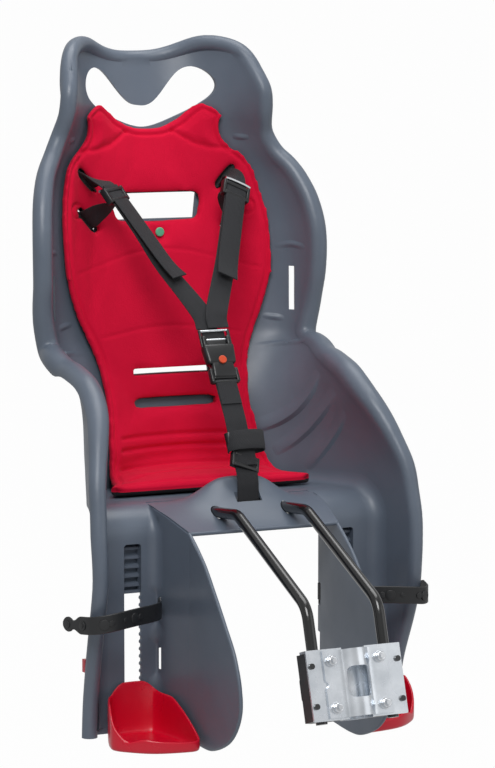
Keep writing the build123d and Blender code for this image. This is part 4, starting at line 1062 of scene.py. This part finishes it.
@dataclass
class Harness:
    """Shoulder straps, adjusters, buckle and crotch strap."""

    # Paths on the child's left: a point and the way of the width there
    main: tuple = (
        ((86.0, 501.6, 490.0), IN_SLIT), ((86.0, 500.0, 490.0), IN_SLIT), ((86.0, 486.0, 490.5), IN_SLIT),
        ((85.0, 470.0, 492.0), OUT_OF_SLIT), ((82.5, 454.0, 491.0), (1.00, -0.02, -0.07)),
        ((78.5, 440.9, 485.4), ON_CHEST), ((74.0, 433.5, 476.0), ON_CHEST), ((68.0, 425.1, 463.8), ON_CHEST),
        ((54.0, 406.0, 434.0), ON_CHEST), ((38.0, 384.0, 400.0), (0.93, -0.03, -0.36)),
        ((20.0, 360.5, 369.0), (0.98, -0.01, -0.18)))
    ends: dict = field(default_factory=lambda: {
        1: ((9.0, 345.4, 350.9), (6.5, 340.3, 342.3), (6.5, 337.2, 337.1), (6.5, 335.3, 333.9)),
        -1: ((9.0, 347.8, 349.5), (6.5, 342.7, 340.9), (6.5, 339.6, 335.7), (6.5, 337.7, 332.4))})
    loop: tuple = (
        ((72.5, 438.6, 472.9), ON_CHEST), ((71.0, 445.0, 468.0), ON_CHEST), ((86.0, 462.9, 453.0), OUT_OF_SLIT),
        ((90.0, 474.9, 446.5), IN_SLIT), ((90.0, 482.9, 446.0), IN_SLIT), ((90.0, 490.3, 446.0), IN_SLIT))
    upper_slit: tuple = (86.0, 490.0)
    lower_slit: tuple = (90.0, 446.0)
    root_y: tuple = (503.0, 496.0, 489.0, 484.0)
    root_wide: float = 34.0
    fold: tuple = ((0.0, 338.3, 331.9), (0.0, 335.2, 326.7), (0.0, 332.2, 321.6), (0.0, 329.1, 316.4))
    tail_end: Point = (30.0, 373.0, 383.0)
    # How far the strap on the child's right stands on edge, in degrees, and its share along the main path
    on_edge: float = 35.0
    edge_share: tuple = (0.0, 0.0, 0.0, 0.0, 0.5, 1.0, 1.0, 1.0, 1.0, 0.7, 0.3)
    run: Point = (-0.36, -0.50, -0.79)
    front: Point = (0.18, -0.87, 0.46)
    grip: Point = (74.0, 433.5, 476.0)
    # The crotch strap in y and z, its sewn end, and a turn of it round the keeper, across and in front
    crotch: tuple = (
        (310.3, 289.1), (306.8, 283.1), (302.7, 276.2), (281.0, 243.0), (274.6, 231.0), (268.2, 219.0),
        (261.8, 207.0), (255.4, 195.0), (251.9, 188.4), (249.0, 183.0), (247.0, 172.0), (247.0, 163.0),
        (247.0, 155.0), (247.0, 146.5))
    sewn: tuple = ((0.0, 303.0, 280.5), (0.0, 299.5, 275.0), (0.0, 292.5, 264.0), (0.0, 287.0, 255.5))
    wrap: tuple = ((-14, -3), (-16, 3), (-9, 9), (4, 10.5), (16, 10), (25, 6), (27, -1), (22, -6), (14, -6))
    # Blocks of the buckle in its own frame: size, middle, radius of the edges, width of the lower end
    body_blocks: tuple = (
        ((37, 12, 24), (0, 0, 4), 3.2, 0.9), ((25, 10.5, 22), (0, 0, -13), 2.4, 1.1),
        ((27, 7.5, 3.6), (0, 0, -23.5), 1.2),
        ((4.2, 8, 17), (-15, 0, -21), 1.6), ((4.2, 8, 17), (15, 0, -21), 1.6),
        ((33, 6, 3.6), (0, 0, -28.5), 1.4), ((33, 7, 4.0), (0, 0, -14.5), 1.5),
        ((5, 8.5, 14), (-14.5, 0, 19.5), 1.8), ((5, 8.5, 14), (14.5, 0, 19.5), 1.8))
    tongue_blocks: tuple = (
        ((3.4, 3, 22), (-17, 0, 24), 1.2), ((3.4, 3, 22), (17, 0, 24), 1.2), ((24, 2.8, 14), (0, 0, 15), 0.8))

    def build(self) -> list[Piece]:
        """Builds the whole harness."""
        made = []
        for side in Side:
            made += [self.strap(side), self.adjuster(side)]
        return made + [self.crotch_strap(), self.tri_glide(), self.keeper()] + self.buckle()

    def turned(self, way: Sequence[float], side: Side, share: float) -> Point:
        """The way of a strap's width, turned about its run on the side where the strap stands on edge."""
        if side is Side.LEFT:
            return flipped(way, 1)
        spin = Matrix.Rotation(math.radians(-self.on_edge * share), 3, Vector(flipped(self.run, -1)))
        return tuple(spin @ Vector(flipped(way, -1)))

    def strap(self, side: Side) -> Piece:
        """Models a shoulder strap: the layer to the buckle, the loop to the lower slit and the free tail."""
        s = side.value
        path = [flipped(p, s) for p, _ in self.main] + [flipped(p, s) for p in self.ends[s]]
        ways = [self.turned(w, side, f) for (_, w), f in zip(self.main, self.edge_share)] + [(s, 0, 0)] * 4
        pieces = [ribbon("layer", path, ways)]
        path, ways = ([flipped(v, s) for v in part] for part in zip(*self.loop))
        pieces.append(ribbon("loop", path, ways))
        for x, z in (self.upper_slit, self.lower_slit)[:2 if side is Side.RIGHT else 1]:
            root = [flipped((x, y, z), s) for y in self.root_y]
            pieces.append(ribbon("root", root, [flipped(IN_SLIT, s)] * len(root), self.root_wide))
        if side is Side.LEFT:
            pieces.append(ribbon("fold", self.fold, [(1, 0, 0)] * len(self.fold), 27.0))
        lift = Vector(self.turned(self.front, side, 1.0))
        path = [Vector(flipped(p, s)) + lift * (2.4 + 0.25 * k * k) for k, (p, _) in enumerate(self.main[5:10])]
        path.append(Vector(flipped(self.tail_end, s)) + lift * 10.5)
        ways = [self.turned(w, side, 1.0) for _, w in self.main[5:10]] + [self.turned(ON_CHEST, side, 0.9)]
        pieces.append(ribbon("tail", path, ways))
        piece = put_on(joined("strap_" + side.label, pieces), WEB)
        return stand_for(piece, "shoulder_strap_" + side.label)

    @staticmethod
    def glide(rail: Point, rail_x: float, bar: Point, bars: Sequence[tuple[float, float]],
              soft: float) -> list[Piece]:
        """Models the open black frame of an adjuster.

        Args:
            rail: size of its two sides.
            rail_x: how far they are from the middle.
            bar: size of its bars.
            bars: where the bars are, in y and z.
            soft: radius of the sides' edges.

        Returns:
            Its parts.
        """
        parts = [slab("rail", rail, (x, 0, 0), soft) for x in (-rail_x, rail_x)]
        parts += [slab("bar", bar, (0, y, z), 0.9) for y, z in bars]
        return [put_on(part, BLACK) for part in parts]

    def adjuster(self, side: Side) -> Piece:
        """Models a strap adjuster: an open black frame with a bright bar along its upper edge."""
        s = side.value
        bars = ((-3.2, 6), (3.2, 6), (-3.2, -7), (3.2, -7))
        parts = self.glide((4.2, 8.5, 19), 15.2, (29, 2.4, 4.2), bars, 1.4)
        bow = [(-16, -3.9, 10.2), (-8, -4.2, 11.0), (8, -4.2, 11.0), (16, -3.9, 10.2)]
        wire = put_on(tube("wire", bow, 1.5), NICKEL)
        piece = joined("adjuster_" + side.label, parts + [wire])
        up = flipped([-c for c in self.run], s)
        settle(piece, axes(flipped(self.grip, s), self.turned(ON_CHEST, side, 1.0), up))
        return stand_for(piece, "strap_adjuster_" + side.label)

    def at(self, share: float, off: float = 0.0, across: float = 0.0) -> Point:
        """Point of the crotch strap's straight run, so far in front of it."""
        return (across, 281.0 - 32.0 * share - 0.88 * off, 243.0 - 60.0 * share + 0.47 * off)

    def crotch_strap(self) -> Piece:
        """Models the crotch strap with its sewn loop at the buckle and its free tail."""
        down = [(0.0, y, z) for y, z in self.crotch]
        pieces = [ribbon("down", down, [(1, 0, 0)] * len(down))]
        pieces.append(ribbon("sewn", self.sewn, [(1, 0, 0)] * len(self.sewn), 24.0, 1.5))
        tail = [self.at(0.86, 3.4), self.at(0.7, 4.2), self.at(0.5, 3.6), self.at(0.34, 4.0)]
        pieces.append(ribbon("tail", tail, [(1, 0, 0)] * len(tail)))
        around = [self.at(0.46, off, across) for across, off in self.wrap]
        pieces.append(ribbon("wrap", around, [(0.1, 0.47, 0.88)] * len(around), 22.0))
        return stand_for(put_on(joined("crotch_web", pieces), WEB), "crotch_strap")

    def tri_glide(self) -> Piece:
        """Models the adjuster low on the crotch strap."""
        bars = ((-2.9, 6.2), (-3.2, -6.2), (2.9, 6.2), (2.9, -6.2))
        piece = joined("tri_glide", self.glide((4, 7, 17), 15, (28, 2.4, 4), bars, 1.2))
        settle(piece, axes(self.at(0.80), (0.94, 0, -0.34), (0.3, 0.47, 0.83)))
        return stand_for(piece, "crotch_adjuster")

    def keeper(self) -> Piece:
        """Models the keeper, a closed band round both layers of the crotch strap."""
        rings = []
        for z in (-8, -7.6, 7.6, 8):
            ring = []
            for k in range(24):
                a = 2 * math.pi * k / 24
                squeeze = abs(math.cos(a)) ** 0.35 * (1 if math.cos(a) > 0 else -1)
                ring.append(Vector((17.4 * squeeze, 5.6 * math.sin(a) - 1.2, z)))
            rings.append(ring)
        inner = []
        for ring in reversed(rings):
            inner.append([Vector((p.x * 0.88, (p.y + 1.2) * 0.72 - 1.2, p.z)) for p in ring])
        piece = put_on(soften(loft("keeper", rings + inner, around=True), 40.0), BLACK)
        settle(piece, axes(self.at(0.42), (1, 0, 0), (0, 0.47, 0.88)))
        return stand_for(piece, "strap_keeper")

    def buckle(self) -> list[Piece]:
        """Models the buckle's body, its side prongs and the bright tongue."""
        place = axes((0, 318, 302), (1, 0, 0), (0, 0.51, 0.86))
        blocks = [slab("buckle", *block) for block in self.body_blocks]
        front = slab("rim", (28, 2.4, 18), (0, -6.0, 3), 1.1, 0.9)
        hole = disc("hole", 5.6, 6.0, (0, 0, 0), 0.6)
        settle(hole, axes((0, -4.0, -4), (1, 0, 0), (0, -1, 0)))
        carve(front, hole)
        body = put_on(joined("buckle", blocks + [front]), BLACK)
        stand_for(settle(body, place), "buckle_body")
        parts = [put_on(slab("tongue", *block), BLACK) for block in self.tongue_blocks]
        for z in (33.4, 22.5):
            parts.append(put_on(tube("bar", [(-17, 0, z), (0, 0, z), (17, 0, z)], 1.5), NICKEL))
        tongue = joined("tongue", parts)
        stand_for(settle(tongue, place), "buckle_tongue")
        return [body, tongue]


@dataclass
class Footrest:
    """A footrest tray with its key and ears, and the foot strap above it."""

    side: Side
    # The tray's plan, and the height of its edge over y at the inner and at the outer side
    plan: tuple = ((103, 264), (158, 264), (170, 240), (181, 212), (181, 197), (152, 168), (122, 160), (94, 158),
                   (94, 205))
    inner_top: tuple = ((300, -35), (256, -35.5), (238, -43), (205, -61), (172, -79.5), (150, -86.5), (100, -87))
    outer_top: tuple = ((300, -35), (256, -35.5), (240, -41), (216, -48), (208, -57), (200, -70), (188, -84),
                        (100, -87))
    corner: float = 13.0
    floor_z: float = -92.0
    # The tray's skin: how far inside the plan, the share of the wall's height, and z where that is 0
    skin: tuple = ((9.0, 0, -95.0), (3.0, 0, -95.0), (0.6, 0, -93.4), (0.0, 0.1, 0), (0.0, 0.6, 0),
                   (0.0, 0.96, 0), (0.6, 1.0, 0), (2.2, 1.0, 0), (2.8, 0.95, 0), (3.0, 0.5, 0), (3.6, 0.12, 0),
                   (6.0, 0, -91.6), (12.0, 0, -92.0))
    key_at: Point = (128.3, 268.2, -58)
    # The foot strap's middle line, its two ends, and its knobs: distance from the tip, radius and height
    band: tuple = ((98.6, 270.6, 44), (96.8, 267.8, 44), (98, 263.2, 44), (101.6, 257.2, 44), (105, 249, 44.2),
                   (109.5, 236, 44.7), (124, 221, 45.5), (150, 206, 46), (176, 196, 45))
    band_half: float = 9.5
    band_thick: float = 2.6
    row_mm: float = 1.5
    knobs: tuple = ((8.0, 4.0, 0.9), (31.0, 5.0, 1.2), (31.0, 2.4, 2.2), (58.0, 5.6, 1.3), (66.0, 3.4, 1.3),
                    (84.0, 2.6, 0.7), (98.0, 5.6, 1.3), (106.0, 3.4, 1.3))
    ends: dict = field(default_factory=lambda: {
        1: ((190, 197, 43.5), (199.5, 207, 43.5), (202.4, 221, 46), (203.4, 236, 50), (202.9, 249, 55)),
        -1: ((193, 196, 43), (203, 205, 41), (208, 219, 39.5), (213, 233, 38.5), (217, 246, 38))})

    def build(self) -> list[Piece]:
        """Builds the tray and the strap."""
        return [self.tray(), self.strap()]

    def outline(self, inset: float) -> list[tuple[float, float]]:
        """The tray's rounded plan, moved inward."""
        pts = [Vector(p) for p in self.plan]
        for _ in range(3):
            cut = []
            for a, b in zip(pts, pts[1:] + pts[:1]):
                near = min(0.25, 9.0 / max((b - a).length, 1.0))
                cut += [a.lerp(b, near), b.lerp(a, near)]
            pts = cut
        out = []
        n = len(pts)
        for i in range(n):
            run = (pts[(i + 1) % n] - pts[i - 1]).normalized()
            out.append((pts[i].x + run.y * inset, pts[i].y - run.x * inset))
        return out

    def top(self, x: float, y: float) -> float:
        """Height of the tray's edge at a point of its plan."""
        heights = []
        for line in (self.inner_top, self.outer_top):
            heights.append(float(np.interp(y, *zip(*reversed(line)))))
        share = min(1.0, max(0.0, (x - 152.0) / 16.0))
        edge = -35.0 - max(0.0, self.corner - max(0.0, min(x - self.plan[0][0], self.plan[1][0] - x)))
        return min(heights[0] + (heights[1] - heights[0]) * share, edge if y > 218 else 0.0)

    def tray(self) -> Piece:
        """Models the tray as one skin from under the floor over the edge to the inside."""
        s = self.side.value
        rows = []
        for inset, share, z in self.skin:
            row = []
            for x, y in self.outline(inset):
                height = z if share == 0 else self.floor_z + share * (self.top(x, y) - self.floor_z)
                row.append(Vector((x * s, y, height)))
            rows.append(row)
        tray = loft("tray", rows)
        modify(tray, "SUBSURF", levels=1)
        soften(tray, 60.0)
        x, y, z = flipped(self.key_at, s)
        parts = [tray, slab("key", (16, 9.5, 28), (x, y, z), 1.0)]
        parts.append(slab("plate", (30, 3.4, 32), (x, y + 4.0, z), 1.0))
        parts += [slab("ear", (17, 15, 5.6), (121.8 * s, 280.5, z), 0.8) for z in (-69.1, -46.9)]
        rest = put_on(joined("footrest_" + self.side.label + "_look", parts), RED)
        return stand_for(rest, "footrest_" + self.side.label)

    def strap(self) -> Piece:
        """Models the rubber strap: a band that ends in a neck and a disc, with raised tabs and a stud."""
        s = self.side.value
        rows = [Vector(p) for p in resample([flipped(p, s) for p in self.band + self.ends[s]], self.row_mm)]
        n = len(rows)
        rings = []
        frames = []
        for i, p in enumerate(rows):
            run = heading(rows, i)
            up = square_to(run, Vector((0, 0, 1)))
            out = run.cross(up)
            frames.append((p, run, out))
            left = (n - 1 - i) * self.row_mm
            half = self.band_half
            if left < 16:
                half = max(2.0, math.sqrt(max(0.0, 64.0 - (left - 8.0) ** 2)))
            elif left < 28:
                half = 4.5 + 5.0 * (0.5 - 0.5 * math.cos(math.pi * (left - 16) / 12)) if left > 18 else 5.0
            lower = ((-1, -0.5), (-0.93, -1), (0.93, -1), (1, -0.5))
            edge = lower + tuple((-u, -v) for u, v in lower)
            rings.append([p + up * (u * half) + out * (v * self.band_thick / 2) for u, v in edge])
        parts = [soften(loft("band", rings), 40.0)]
        for left, radius, tall in self.knobs:
            p, run, out = frames[max(0, n - 1 - round(left / self.row_mm))]
            face = out if out.y < 0 or out.x * s > 0.5 else -out
            knob = disc("knob", radius, tall + 0.6, (0, 0, 0.7), 0.4, 24)
            parts.append(settle(knob, axes(p, run, face)))
        stop = slab("stop", (4.4, 3, 32), (101.3 * s, 273.0, 44), 1.0)
        piece = put_on(joined("band_" + self.side.label, parts + [stop]), RUBBER)
        return stand_for(piece, "foot_strap_" + self.side.label)


@dataclass
class Bracket:
    """The pressed front plate and the bolts of the seat-tube bracket."""

    tube_r: float = 15.9
    gauge: float = 2.5
    face_y: float = -11.5
    half: float = 36.5
    z_range: tuple = (-34.0, 35.0)
    lean: float = 17.0
    inner_flat: float = 9.02
    window: Point = (25.0, 30.0, 32.0)
    notch_x: float = 37.5
    notch_r: float = 4.0
    bolts: tuple = tuple((x, z) for x in (-27.6, 27.6) for z in (24.0, -24.0))

    @property
    def place(self) -> Matrix:
        """The bracket's frame, leaning back with the tube."""
        lean = math.radians(self.lean)
        return axes((0, 0, 0), (1, 0, 0), (0, math.sin(lean), math.cos(lean)))

    def build(self) -> list[Piece]:
        """Builds the front plate and the bolts."""
        return [self.front_plate(), self.bolt_heads()]

    def front_plate(self) -> Piece:
        """Models the front plate: flat wings that sweep into the half round over the tube, with a window."""
        def profile(radius: float, flat: float, soft: float) -> list[tuple[float, float]]:
            """One face of the plate, seen along the tube."""
            line = []
            for k in range(73):
                x = self.half * (k / 36 - 1)
                bulge = math.sqrt(max(0.0, radius ** 2 - x * x))
                line.append((x, -0.5 * (flat + bulge + math.sqrt((flat - bulge) ** 2 + soft ** 2))))
            return line

        outer = profile(self.tube_r + self.gauge, -self.face_y, 1.4)
        inner = profile(self.tube_r + 0.05, self.inner_flat, 0.3)
        edge = outer + list(reversed(inner))
        z0, z1 = self.z_range
        rings = [[Vector((x, y, z)) for x, y in edge] for z in (z0, z0 + 0.6, 0.0, z1 - 0.6, z1)]
        plate = loft("front_plate", rings)
        cuts = [slab("cut", self.window, (0, -18, 1), 5.5)]
        for x in (-self.notch_x, self.notch_x):
            notch = disc("cut", self.notch_r, 20.0, (0, 0, 0), 0.3)
            cuts.append(settle(notch, axes((x, -2, 0), (1, 0, 0), (0, -1, 0))))
        for cut in cuts:
            carve(plate, cut)
        put_on(soften(plate, 30.0), ZINC)
        return stand_for(settle(plate, self.place), "clamp_plate")

    def bolt_heads(self) -> Piece:
        """Models the four flanged bolts with sunk sockets, each with a black disc at the socket's bottom as
        painted shade.
        """
        parts = []
        for x, z in self.bolts:
            head = put_on(disc("head", 5.0, 5.0, (0, 0, 1.2), 1.1, 32, 2.7), NICKEL)
            flange = put_on(disc("flange", 6.2, 1.6, (0, 0, 0), 0.5), NICKEL)
            stem = put_on(disc("stem", 4.0, 12.0, (0, 0, -12.0), 0.4), NICKEL)
            # A black disc at the bottom of the socket: painted shade in the recess
            core = put_on(disc("core", 2.6, 0.5, (0, 0, 3.8), 0.1), SCREW)
            bolt = joined("bolt", [head, flange, stem, core])
            parts.append(settle(bolt, axes((x, self.face_y, z), (1, 0, 0), (0, -1, 0))))
        return stand_for(settle(joined("bolts", parts), self.place), "clamp_bolts")


PLAIN: dict[str, Finish] = {
    "seat_pad": PAD, "pad_rivet": GREEN, "buckle_button": ORANGE, "footrest_lock_left": RED,
    "footrest_lock_right": RED, "lock_pin_left": ZINC, "lock_pin_right": ZINC, "carrier_bow": ROD,
    "bow_screws": ZINC, "base_plate": ZINC, "clamp_nuts": NICKEL, "block_screws": SCREW,
}


def dress_frame() -> None:
    """Gives every CAD node that stays in view its finish."""
    for name, node in frame["nodes"].items():
        put_on(node, PLAIN.get(name, BLACK))


def main() -> None:
    """Builds the seat in order and logs each piece."""
    logging.basicConfig(level=logging.INFO, format="%(name)s: %(message)s")
    dress_frame()
    Stage().build()
    for part in (SeatShell(), SeatPad(), Harness(), Footrest(Side.LEFT), Footrest(Side.RIGHT), Bracket()):
        made = part.build()
        for piece in made if isinstance(made, list) else [made]:
            LOG.info("%s: %d faces", piece.name, len(piece.data.polygons))
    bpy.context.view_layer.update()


if __name__ == "__main__":
    main()
